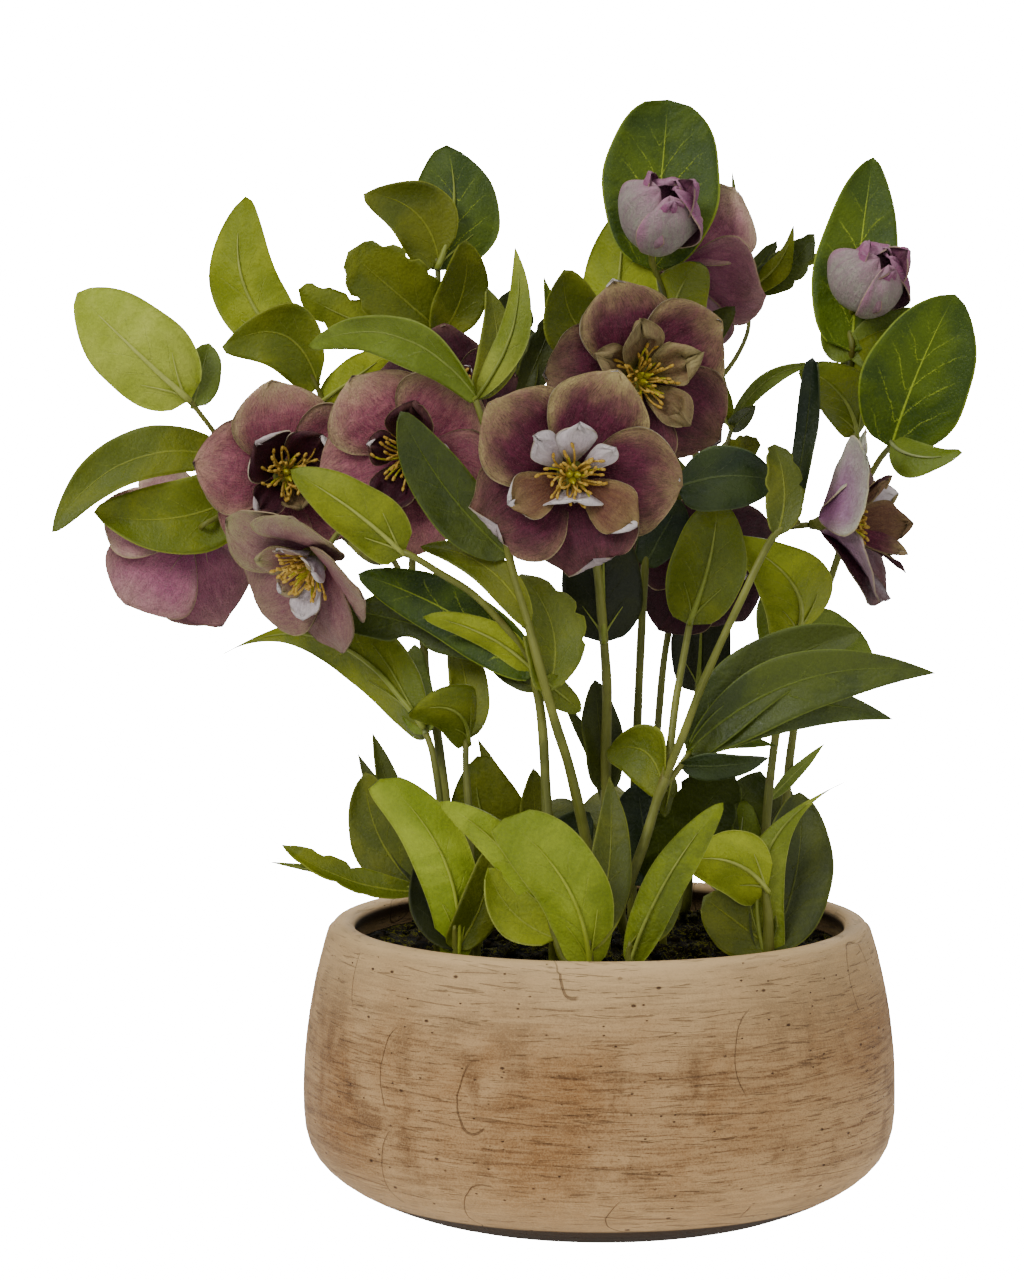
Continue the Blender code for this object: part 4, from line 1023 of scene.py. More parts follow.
@dataclass(frozen=True)
class Shoot:
    """What grows from one root: stalks, the first of which stands in the soil at root (x, y in mm), and leaves."""

    name: str
    root: tuple
    stalks: tuple
    leaves: tuple = ()

    def stalk_line(self, index: int, ends: dict[str, tuple[Vector, Vector]], earlier: list[Line]) -> Line:
        """The points of one stalk in metres, from its root or an earlier stalk to what it carries.

        Args:
            index: Which stalk.
            ends: Where the stalk of each bloom and bud ends, and the way that it faces.
            earlier: The lines of the stalks before it.

        Returns:
            The stalk's middle line.
        """
        stalk = self.stalks[index]
        points = [VIEW.seen(*spot) for spot in stalk.route]
        x, y = self.root
        if index == 0:
            points.insert(0, Vector((x, y, SOIL_TOP + CLEAR)) * MM)
        else:
            start = points[0]
            points[0] = nearest_on(earlier, lambda place: (place - start).length)
        if stalk.bloom:
            back, direction = ends[stalk.bloom]
            points.append(back - direction * STRAIGHT * MM)
            points.append(back - direction * GAP * MM)
        line = smooth(points)
        if index == 0:
            line.insert(0, Vector((x, y, SOIL_TOP - ROOTED)) * MM)
        return line

    def build(self, ends: dict[str, tuple[Vector, Vector]], number: int) -> bpy.types.Object:
        """Builds the shoot's stalks and leaves as one piece.

        Args:
            ends: Where the stalk of each bloom and bud ends, and the way that it faces.
            number: The number of its first leaf.

        Returns:
            The piece.
        """
        lines: list[Line] = []
        for index in range(len(self.stalks)):
            lines.append(self.stalk_line(index, ends, lines))
        mould = Mould()
        for index, (stalk, line) in enumerate(zip(self.stalks, lines)):
            joints = [other[0] for other in lines[index + 1:]]
            stalk.build(mould, line, number + index, joints)
        for index, leaf in enumerate(self.leaves):
            target = Vector(leaf.foot)
            foot = nearest_on(lines, lambda place: (VIEW.pixel_of(place) - target).length)
            leaf.build(mould, foot, number + index)
        return mould.finished(self.name + "_dressed", self.name)


@dataclass(frozen=True)
class Blade:
    """A sepal or petal in its bloom's own frame, +Z the way that the bloom faces, in millimetres and degrees.

    lift and flare are its slopes at its foot and its tip: past 90 degrees it leans in over the middle. closing is
    the share of its length at which it starts to round off, frill the height of the waves along its end, fold the
    angle by which its end is folded up, point how pointed it is and ragged how deep its end is notched.
    """

    angle: float
    start: tuple[float, float]
    length: float
    wide: float
    lift: float
    flare: float
    cup: float
    twist: float
    ruffle: float
    front: Finish
    back: Finish
    tone: float = 0.5
    curl: float = 0.0
    frill: float = 0.0
    closing: float = 0.5
    full: float = 0.82  # the share of a half sine wave that its width runs through
    fold: float = 0.0
    point: float = 0.0
    ragged: float = 0.0
    columns: int = 16
    rows: int = 18
    thick: float = 0.6

    FOLD_AT = 0.84
    FOLD_LONG = 0.1
    CALM = 3  # where half the blade is narrower than this, its waves get lower

    def slope(self, t: float) -> float:
        """The slope of the blade's middle line in radians, which turns up steeply where its end is folded."""
        turn = min(1.0, max(0.0, (t - self.FOLD_AT) / self.FOLD_LONG))
        plain = self.lift + (self.flare - self.lift) * t * (1 + ROUNDING)
        return math.radians(plain + self.fold * turn * turn * (3 - 2 * turn))

    def middle(self, steps: int) -> list[tuple[float, float]]:
        """The radius and height of the middle line in millimetres at even steps along it."""
        places = [self.start]
        for k in range(steps):
            far, high = places[-1]
            slope = self.slope((k + 0.5) / steps)
            places.append((far + math.cos(slope) * self.length / steps, high + math.sin(slope) * self.length / steps))
        return places

    def half_width(self, t: float) -> float:
        """Half the blade's width in millimetres at share t of its length."""
        shape = math.sin(math.pi * self.full * t) ** 0.85
        rounding = max(0.0, (t - self.closing) / (1 - self.closing))
        return self.wide / 2 * shape * max(0.0, 1 - rounding**2.6) ** (0.5 + self.point)

    def build(self, mould: Mould, seed: float) -> None:
        """Adds the blade to a mesh in the bloom's frame.

        Args:
            mould: The mesh that takes it.
            seed: Chooses its own ripples.
        """
        middle = self.middle(self.rows * 4)
        outwards = Vector((math.cos(self.angle), math.sin(self.angle), 0))
        sideways = Vector((-math.sin(self.angle), math.cos(self.angle), 0))

        def place(u: float, t: float) -> tuple[Vector, Vector, Vector]:
            """The blade's surface with its attributes."""
            notch = self.ragged * t * t * (0.5 + 0.5 * math.sin(9 * u + seed * 6))
            slope = self.slope(t)
            far, high = middle[round(t * (1 - notch) * (len(middle) - 1))]
            inward = UP * math.cos(slope) - outwards * math.sin(slope)
            half = self.half_width(t)
            calm = min(1.0, half / self.CALM)
            ripple = self.ruffle * math.sin(5 * t + 2 * u + seed * 5) * abs(u)
            ripple += 1.8 * self.ruffle * noise.noise(Vector((u * half * 0.07, t * self.length * 0.06, seed * 17)))
            ripple += 0.5 * self.ruffle * noise.noise(Vector((u * half * 0.2, t * self.length * 0.2, seed * 13)))
            frill = self.frill * math.sin(8.5 * u + seed * 4) * max(0.0, t - 0.35) ** 1.3
            edge = max(0.0, abs(u) - 0.6) / 0.4 * min(1.0, t * 2)
            bend_over = self.curl * edge**1.6
            rise = (self.cup * u * u + self.twist * u) * half + (ripple + frill - bend_over) * calm
            point = (outwards * far + UP * high + sideways * half * u + inward * rise) * MM
            return point, Vector((u if t > 0 else 0, t, self.tone)), Vector((u * half, t * self.length, u))

        verts = mould.grid(self.columns, self.rows, place)
        mould.thickened(verts, self.thick, self.back, self.front)


PLUM_FRONT = PetalFinish("sepal_plum", (112, 50, 70), (54, 14, 36), (182, 166, 108), (56, 18, 42), border=0.56,
                         light=(156, 98, 104))
PLUM_BACK = PetalFinish("sepal_plum_back", (186, 168, 168), (158, 128, 142), (232, 228, 216), (130, 96, 118),
                        streaks=0.4, veins=0.15, flecks=0.15, light=(214, 200, 198))
ROSE_FRONT = PetalFinish("sepal_rose", (176, 108, 114), (114, 46, 76), (184, 174, 120), (116, 40, 78),
                         light=(194, 150, 142))
ROSE_BACK = PetalFinish("sepal_rose_back", (146, 92, 108), (106, 58, 82), (172, 160, 124), (104, 44, 86), veins=0.4)
# Painted light: a lighter copy of the rose back, for blooms whose sepal backs lie in shade
ROSE_BACK_PAINTED_LIGHT = PetalFinish("sepal_rose_back_painted_light", (190, 122, 140), (138, 68, 102), (210, 196, 152), (118, 42, 92), veins=0.4,
                        light=(198, 158, 160))
DARK_FRONT = PetalFinish("sepal_dark", (76, 36, 48), (44, 16, 28), (112, 80, 68), (44, 18, 30), border=0.75,
                         flecks=0.2, light=(104, 60, 66))
LILAC_FRONT = PetalFinish("sepal_lilac", (112, 64, 78), (72, 34, 50), (140, 124, 96), (84, 38, 54))
LILAC_BACK = PetalFinish("sepal_lilac_back", (164, 128, 152), (124, 80, 114), (188, 198, 164), (116, 60, 96),
                         border=0.3, margins=1.1, streaks=0.45, veins=0.3)
GREEN_FRONT = PetalFinish("sepal_green", (150, 112, 106), (112, 58, 78), (152, 152, 98), (120, 50, 80), border=0.4,
                          margins=1.0, streaks=0.55)
PEARL = PetalFinish("petal_pearl", (206, 194, 194), (172, 152, 164), (222, 220, 206), (166, 156, 120), veins=0.12,
                    streaks=0.3, margins=0.5, flecks=0.2, light=(228, 220, 218))
BEIGE = PetalFinish("petal_beige", (136, 116, 78), (92, 58, 52), (154, 146, 96), (136, 132, 60), veins=0.35,
                    light=(164, 148, 106))
OLIVE_PLUM = PetalFinish("petal_olive_plum", (124, 92, 64), (84, 44, 48), (148, 132, 84), (104, 62, 52), veins=0.4,
                         light=(156, 120, 96))
BUD_FRONT = PetalFinish("bud_plum", (134, 84, 108), (92, 50, 72), (166, 156, 138), (120, 110, 90), border=0.7)
BUD_BACK = PetalFinish("bud_pale", (166, 106, 136), (122, 60, 98), (186, 156, 166), (146, 152, 112), border=0.8,
                       streaks=0.4, veins=0.3, light=(176, 150, 162))
BUD_GREEN = PetalFinish("bud_green", (150, 152, 132), (138, 98, 118), (164, 96, 134), (142, 152, 108), border=0.6,
                        streaks=0.4, veins=0.25, light=(164, 158, 150))

STALK_FINISH = StalkFinish()
RIB = GrainFinish("leaf_rib", (134, 142, 62), (112, 122, 44), 60.0, 0.5, 0.2)
RIBS = {
    Look.PALE: GrainFinish("leaf_rib_pale", (176, 182, 96), (158, 166, 76), 60.0, 0.5, 0.2),
    Look.LIGHT: GrainFinish("leaf_rib_light", (158, 164, 80), (138, 146, 60), 60.0, 0.5, 0.2),
    Look.BASAL: GrainFinish("leaf_rib_basal", (150, 160, 58), (134, 144, 44), 60.0, 0.5, 0.2),
    Look.GREY: GrainFinish("leaf_rib_grey", (150, 158, 104), (132, 142, 86), 60.0, 0.5, 0.2),
}
FILAMENT = GrainFinish("filament", (212, 178, 92), (186, 146, 62), 260.0)
ANTHER = GrainFinish("anther", (206, 172, 78), (176, 134, 52), 700.0)
STYLE = GrainFinish("style", (196, 190, 60), (176, 166, 44), 300.0)
PISTIL = GrainFinish("pistil", (158, 162, 66), (186, 184, 96), 300.0)


@dataclass(frozen=True)
class InnerPetal:
    """One of the curled petals round a bloom's stamens, in degrees and millimetres."""

    direction: float
    length: float
    wide: float
    lift: float
    flare: float
    front: PetalFinish
    back: PetalFinish
    frill: float = 1.6
    cup: float = 0.2
    point: float = 0.25
    ragged: float = 0.1


class BloomLook(Enum):
    """The finishes of a bloom's sepals, on their inner face and their back, by name."""

    PLUM = (PLUM_FRONT, PLUM_BACK)
    ROSE = (ROSE_FRONT, ROSE_BACK)
    # painted light: the rose front with the lighter copy of its back
    ROSE_PAINTED_LIGHT = (ROSE_FRONT, ROSE_BACK_PAINTED_LIGHT)
    DARK = (DARK_FRONT, ROSE_BACK)
    LILAC = (LILAC_FRONT, LILAC_BACK)
    GREEN = (GREEN_FRONT, ROSE_BACK)


@dataclass(frozen=True)
class Bloom:
    """An open bloom by its middle (pixel, pixel, depth) and the way it faces, in degrees.

    yaw turns it to the photograph's right and pitch up. roll is the direction of its first sepal. lift and flare
    are the slopes of a sepal at its foot and at its tip.
    """

    name: str
    middle: tuple
    yaw: float
    pitch: float
    roll: float
    look: BloomLook
    sepal: float = 40
    lift: float = 42
    flare: float = -6
    reach: tuple = (1, 1, 1, 1, 1)

    SEPAL_START = (3.2, -6.5)  # how far out and how high sepals start, and then inner petals
    PETAL_START = (4.6, -1.6)
    STAMENS = 40
    STYLES = 3

    def end(self) -> tuple[Vector, Vector]:
        """Where the bloom's stalk meets its back, and the direction from there to its front."""
        direction = facing(self.yaw, self.pitch)
        return VIEW.seen(*self.middle) - direction * RECEPTACLE * MM, direction

    def pose(self) -> Matrix:
        """The matrix that carries the bloom's own frame to the object's."""
        return upright(VIEW.seen(*self.middle), facing(self.yaw, self.pitch))

    def inner_petals(self) -> tuple[InnerPetal, ...]:
        """The petals round the stamens: this bloom's own, or five alike."""
        if self.name in INNER:
            return INNER[self.name]
        dark = self.look is not BloomLook.PLUM
        front = DARK_FRONT if dark else BEIGE
        return tuple(
            InnerPetal(self.roll + 36 + 72 * k, self.sepal * 0.5, self.sepal * 0.42, 58, 14 + 9 * (k % 3), front, PEARL)
            for k in range(INNER_PETALS)
        )

    def build_petals(self, number: int) -> bpy.types.Object:
        """Builds sepals, inner petals and the receptacle behind them as one piece."""
        front, back = self.look.value
        mould = Mould()
        rings = ((-RECEPTACLE, 1.9), (-8.5, 2.4), (-6, 3.6), (-3.5, 5.2), (-1.5, 6.2), (0, 6.3))
        mould.stepped(rings, 16, STALK_FINISH)
        draw = random.Random(number * 31 + 2)
        changed = CHANGED.get(self.name, {})
        for k in range(SEPALS):
            angle = math.radians(self.roll) + 2 * math.pi * k / SEPALS
            seed = draw.random()
            # Painted light: sepals that point up get a higher tone and come out lighter, those that point down darker,
            # with a random spread
            tone = min(1, max(0, 0.5 + 0.38 * math.sin(angle) + draw.uniform(-0.12, 0.12)))
            length = self.sepal * self.reach[k] * draw.uniform(0.98, 1.02)
            sepal = Blade(
                angle, self.SEPAL_START, length, self.sepal * draw.uniform(1.0, 1.08), self.lift, self.flare, cup=0.10,
                twist=0.16, ruffle=1.0, front=front, back=back, tone=tone, curl=draw.uniform(0.2, 1.4),
                point=draw.uniform(0.0, 0.16), ragged=0.03, columns=22, rows=28,
            )
            replace(sepal, **changed.get(k, {})).build(mould, seed)
        for petal in self.inner_petals():
            Blade(
                math.radians(petal.direction), self.PETAL_START, petal.length, petal.wide, petal.lift, petal.flare,
                cup=petal.cup, twist=0.1, ruffle=0.5, front=petal.front, back=petal.back, tone=draw.uniform(0.3, 0.9),
                curl=0.5, frill=petal.frill, closing=0.62, full=0.66, point=petal.point, ragged=petal.ragged,
                columns=18, rows=18, thick=0.5,
            ).build(mould, draw.random())
        return mould.finished(f"bloom_{self.name}_petals", f"bloom_{self.name}_sepals", self.pose())

    def build_stamens(self, number: int) -> bpy.types.Object:
        """Builds the stamens round the styles, on their low disc, as one piece."""
        mould = Mould()
        rings = [(GAP + z, radius) for z, radius in ((0, 4.2), (0.8, 4.4), (1.6, 3.9), (2.2, 3.0))]
        mould.stepped(rings, 14, PISTIL)
        draw = random.Random(number * 13 + 5)
        for k in range(self.STAMENS):
            angle = k * GOLDEN + draw.uniform(-0.25, 0.25)
            share = (k + 0.5) / self.STAMENS
            lean = math.radians(12 + 40 * share + draw.uniform(-6, 6))
            reach = (9.5 + 3.5 * draw.random()) * (0.8 + 0.2 * share)
            away = Vector((math.cos(angle), math.sin(angle), 0))
            foot = away * (1.8 + 2.0 * share) + UP * (GAP + 1.2)
            bow = draw.uniform(-0.1, 0.3)
            hook = draw.uniform(-0.25, 0.25)
            along = Vector((-away.y, away.x, 0))
            line = [
                (foot + (away * (math.sin(lean) * s + bow * s * (1 - s)) + UP * math.cos(lean) * s
                         + along * hook * s**3) * reach) * MM
                for s in FIFTHS
            ]
            finish = STYLE if draw.random() > 0.8 else FILAMENT
            mould.sweep(line, lambda t: 0.50 - 0.06 * t, 6, finish, draw.random())
            tip, ahead = line[-1], (line[-1] - line[-2]).normalized()
            turned = (ahead + away * draw.uniform(-0.2, 0.8) + along * hook * 2).normalized()
            anther = [tip + turned * (s * MM) for s in (-0.3, 0.5, 1.3, 2.0)]
            mould.sweep(anther, lambda t: 0.48 + 0.26 * math.sin(math.pi * min(1, t + 0.1)), 6, ANTHER, draw.random())
        for k in range(self.STYLES):
            angle = k * 2 * math.pi / self.STYLES + 0.4
            away = Vector((math.cos(angle), math.sin(angle), 0))
            line = [(away * (1.5 + 0.9 * s * s) + UP * (GAP + 1 + 10.5 * s)) * MM for s in (i / 8 for i in range(9))]
            mould.sweep(line, lambda t: 0.4 + 1.5 * math.sin(math.pi * min(1.0, 0.18 + t)) * (1 - t) ** 0.5, 8, STYLE)
        return mould.finished(f"bloom_{self.name}_stamens_fine", f"bloom_{self.name}_stamens", self.pose())


@dataclass(frozen=True)
class Bud:
    """A closed bud by its middle, the way it faces and its radius in millimetres."""

    name: str
    middle: tuple
    yaw: float
    pitch: float
    radius: float

    WRAPPED = 4
    CORE = 6
    FOOT = 2  # how far the bud's foot stands out behind its ball

    def end(self) -> tuple[Vector, Vector]:
        """Where the bud's stalk meets its back, and the direction from there to its tip."""
        direction = facing(self.yaw, self.pitch)
        return VIEW.seen(*self.middle) - direction * (self.radius + self.FOOT) * MM, direction

    def build(self, number: int) -> bpy.types.Object:
        """Builds the bud: sepals wrapped round each other and crumpled petals in its opening."""
        mould = Mould()
        back = -self.radius - self.FOOT
        rings = [(back + z, radius) for z, radius in ((0, 1.9), (1.5, 2.4), (3, 3.2), (4.5, 4.2), (6, 4.6))]
        mould.stepped(rings, 14, STALK_FINISH)
        for k in range(self.WRAPPED):
            grown = self.radius * (1 + 0.05 * (k % 3))
            outer = BUD_GREEN if k in (2, 3) else BUD_BACK
            Blade(
                2 * math.pi * (k + 0.1) / self.WRAPPED, (1.5, -grown), grown * 2.8, grown * 2.1, lift=4, flare=160,
                cup=0.42, twist=0.2, ruffle=0.6, front=BUD_FRONT, back=outer, tone=0.3 + 0.15 * k, frill=1.2,
                columns=20, rows=28,
            ).build(mould, number + k * 0.77)
        for k in range(self.CORE):
            grown = self.radius * (0.66 - 0.06 * k)
            Blade(
                GOLDEN * k, (1.2, -grown * 0.2), grown * 2.7, grown * 1.8, lift=20, flare=112, cup=0.5, twist=0.2,
                ruffle=0.8, front=BUD_FRONT, back=BUD_BACK, tone=0.3 + 0.1 * k, frill=2.0, columns=12, rows=16,
            ).build(mould, number + 5 + k * 0.31)
        pose = upright(VIEW.seen(*self.middle), facing(self.yaw, self.pitch))
        return mould.finished(self.name + "_dressed", self.name, pose)


# The inner petals of the blooms that have their own, and what single sepals have of their own, by their number
INNER = {
    "front": (
        InnerPetal(135, 26, 14, 58, 30, PEARL, PEARL, 2.0, -0.2, 0.5, 0.16),
        InnerPetal(86, 25, 17, 60, 34, PEARL, PEARL, 1.6, -0.15, 0.45, 0.14),
        InnerPetal(36, 24, 10, 62, 40, PEARL, PEARL, 1.4, -0.3, 0.5, 0.1),
        InnerPetal(266, 15, 26, 66, 76, PEARL, PEARL, 1.6, -0.2),
        InnerPetal(203, 27, 20, 46, 8, OLIVE_PLUM, PEARL, 1.4),
        InnerPetal(322, 31, 22, 46, 8, OLIVE_PLUM, PEARL, 1.4),
    ),
    "upper": (
        InnerPetal(100, 27, 20, 64, 30, BEIGE, BEIGE, 6.0, 0.5, 0.6, 0.3),
        InnerPetal(22, 27, 19, 62, 24, BEIGE, BEIGE, 6.5, 0.5, 0.6, 0.3),
        InnerPetal(308, 28, 16, 58, 20, BEIGE, BEIGE, 6.0, 0.5, 0.6, 0.25),
        InnerPetal(158, 26, 16, 60, 20, BEIGE, BEIGE, 5.0, 0.5, 0.6, 0.25),
        InnerPetal(228, 22, 16, 60, 20, BEIGE, BEIGE, 5.0, 0.2, 0.5, 0.2),
    ),
    "left_middle": (
        InnerPetal(78, 30, 20, 62, 30, DARK_FRONT, DARK_FRONT, 4.0, 0.5),
        InnerPetal(245, 23, 20, 60, 26, DARK_FRONT, DARK_FRONT, 3.4, 0.4),
        InnerPetal(160, 17, 15, 56, 30, DARK_FRONT, PLUM_BACK, 2.0),
        InnerPetal(310, 20, 18, 60, 30, OLIVE_PLUM, PLUM_BACK, 2.4),
        InnerPetal(10, 20, 16, 60, 30, DARK_FRONT, PLUM_BACK, 2.4),
    ),
    "left": (
        InnerPetal(138, 21, 26, 60, 24, DARK_FRONT, PLUM_BACK, 2.6, 0.4),
        InnerPetal(52, 22, 22, 60, 24, DARK_FRONT, PLUM_BACK, 2.6, 0.4),
        InnerPetal(226, 21, 15, 56, 22, DARK_FRONT, PLUM_BACK, 2.6, 0.4),
        InnerPetal(286, 17, 15, 60, 50, BEIGE, BEIGE, 1.6, 0.4),
        InnerPetal(350, 18, 15, 60, 40, DARK_FRONT, BEIGE, 2.0, 0.4),
    ),
    "nodding": (
        InnerPetal(150, 21, 16, 54, 36, GREEN_FRONT, GREEN_FRONT, 1.0),
        InnerPetal(262, 22, 18, 60, 44, PEARL, PEARL, 1.4),
        InnerPetal(210, 18, 13, 58, 40, GREEN_FRONT, PEARL, 1.4),
        InnerPetal(80, 20, 14, 58, 44, GREEN_FRONT, PEARL, 1.6),
        InnerPetal(20, 18, 14, 60, 44, GREEN_FRONT, PEARL, 1.6),
    ),
    "right": (
        InnerPetal(20, 33, 17, 70, 46, PEARL, BEIGE, 1.4, 0.2, 0.5),
        InnerPetal(56, 30, 17, 72, 50, DARK_FRONT, OLIVE_PLUM, 1.6, 0.2, 0.5),
        InnerPetal(98, 27, 15, 76, 58, OLIVE_PLUM, OLIVE_PLUM, 1.6, 0.3, 0.5),
        InnerPetal(344, 35, 19, 76, 62, OLIVE_PLUM, OLIVE_PLUM, 1.2, 0.2, 0.6),
        InnerPetal(300, 33, 17, 74, 54, PLUM_FRONT, PLUM_FRONT, 1.4, 0.3, 0.5),
        InnerPetal(268, 34, 9, 68, 46, DARK_FRONT, DARK_FRONT, 1.6, 0.4, 0.4),
    ),
}
CHANGED = {
    "front": {2: {"fold": 150.0}, 3: {"fold": 150.0}},
    "right": {
        0: {"angle": math.radians(138), "cup": -0.12, "twist": 0.0, "wide": 47.0, "length": 44.0},
        1: {"angle": math.radians(238), "cup": 0.2},
        2: {"angle": math.radians(292)},
        3: {"angle": math.radians(352)},
        4: {"angle": math.radians(74), "wide": 30.0},
    },
}

# The plant, placed as in the solids
BLOOMS = (
    Bloom("front", (572, 476, -58), 4, 2, 67, BloomLook.PLUM, sepal=42, reach=(1.12, 1.06, 1.03, 0.98, 1.04)),
    Bloom("upper", (639, 379, -18), 16, 8, 33, BloomLook.PLUM, sepal=41),
    Bloom("left_middle", (412, 456, -30), -12, -4, 125, BloomLook.ROSE),
    Bloom("left_dark", (446, 402, 8), 8, 14, 90, BloomLook.DARK, sepal=31),
    Bloom("left", (288, 474, -4), 10, 2, 100, BloomLook.ROSE, sepal=39, reach=(1, 1, 1, 0.9, 1)),
    Bloom("nodding", (312, 562, -34), -46, -34, 60, BloomLook.GREEN, lift=52, flare=4),
    Bloom("left_back", (188, 540, 32), -148, -26, 250, BloomLook.ROSE_PAINTED_LIGHT, lift=50, flare=6),
    Bloom("top", (684, 262, 62), 128, 12, 60, BloomLook.ROSE_PAINTED_LIGHT, sepal=43, lift=48, flare=4),
    Bloom("right", (836, 522, -8), 84, 6, 172, BloomLook.LILAC, sepal=42, lift=56, flare=12),
    Bloom("centre_back", (704, 560, 46), 24, -8, 20, BloomLook.DARK, sepal=33, lift=34),
)

BUDS = (
    Bud("bud_top", (662, 216, 16), 12, 48, 14.8),
    Bud("bud_right", (871, 281, 34), 30, 44, 14),
)

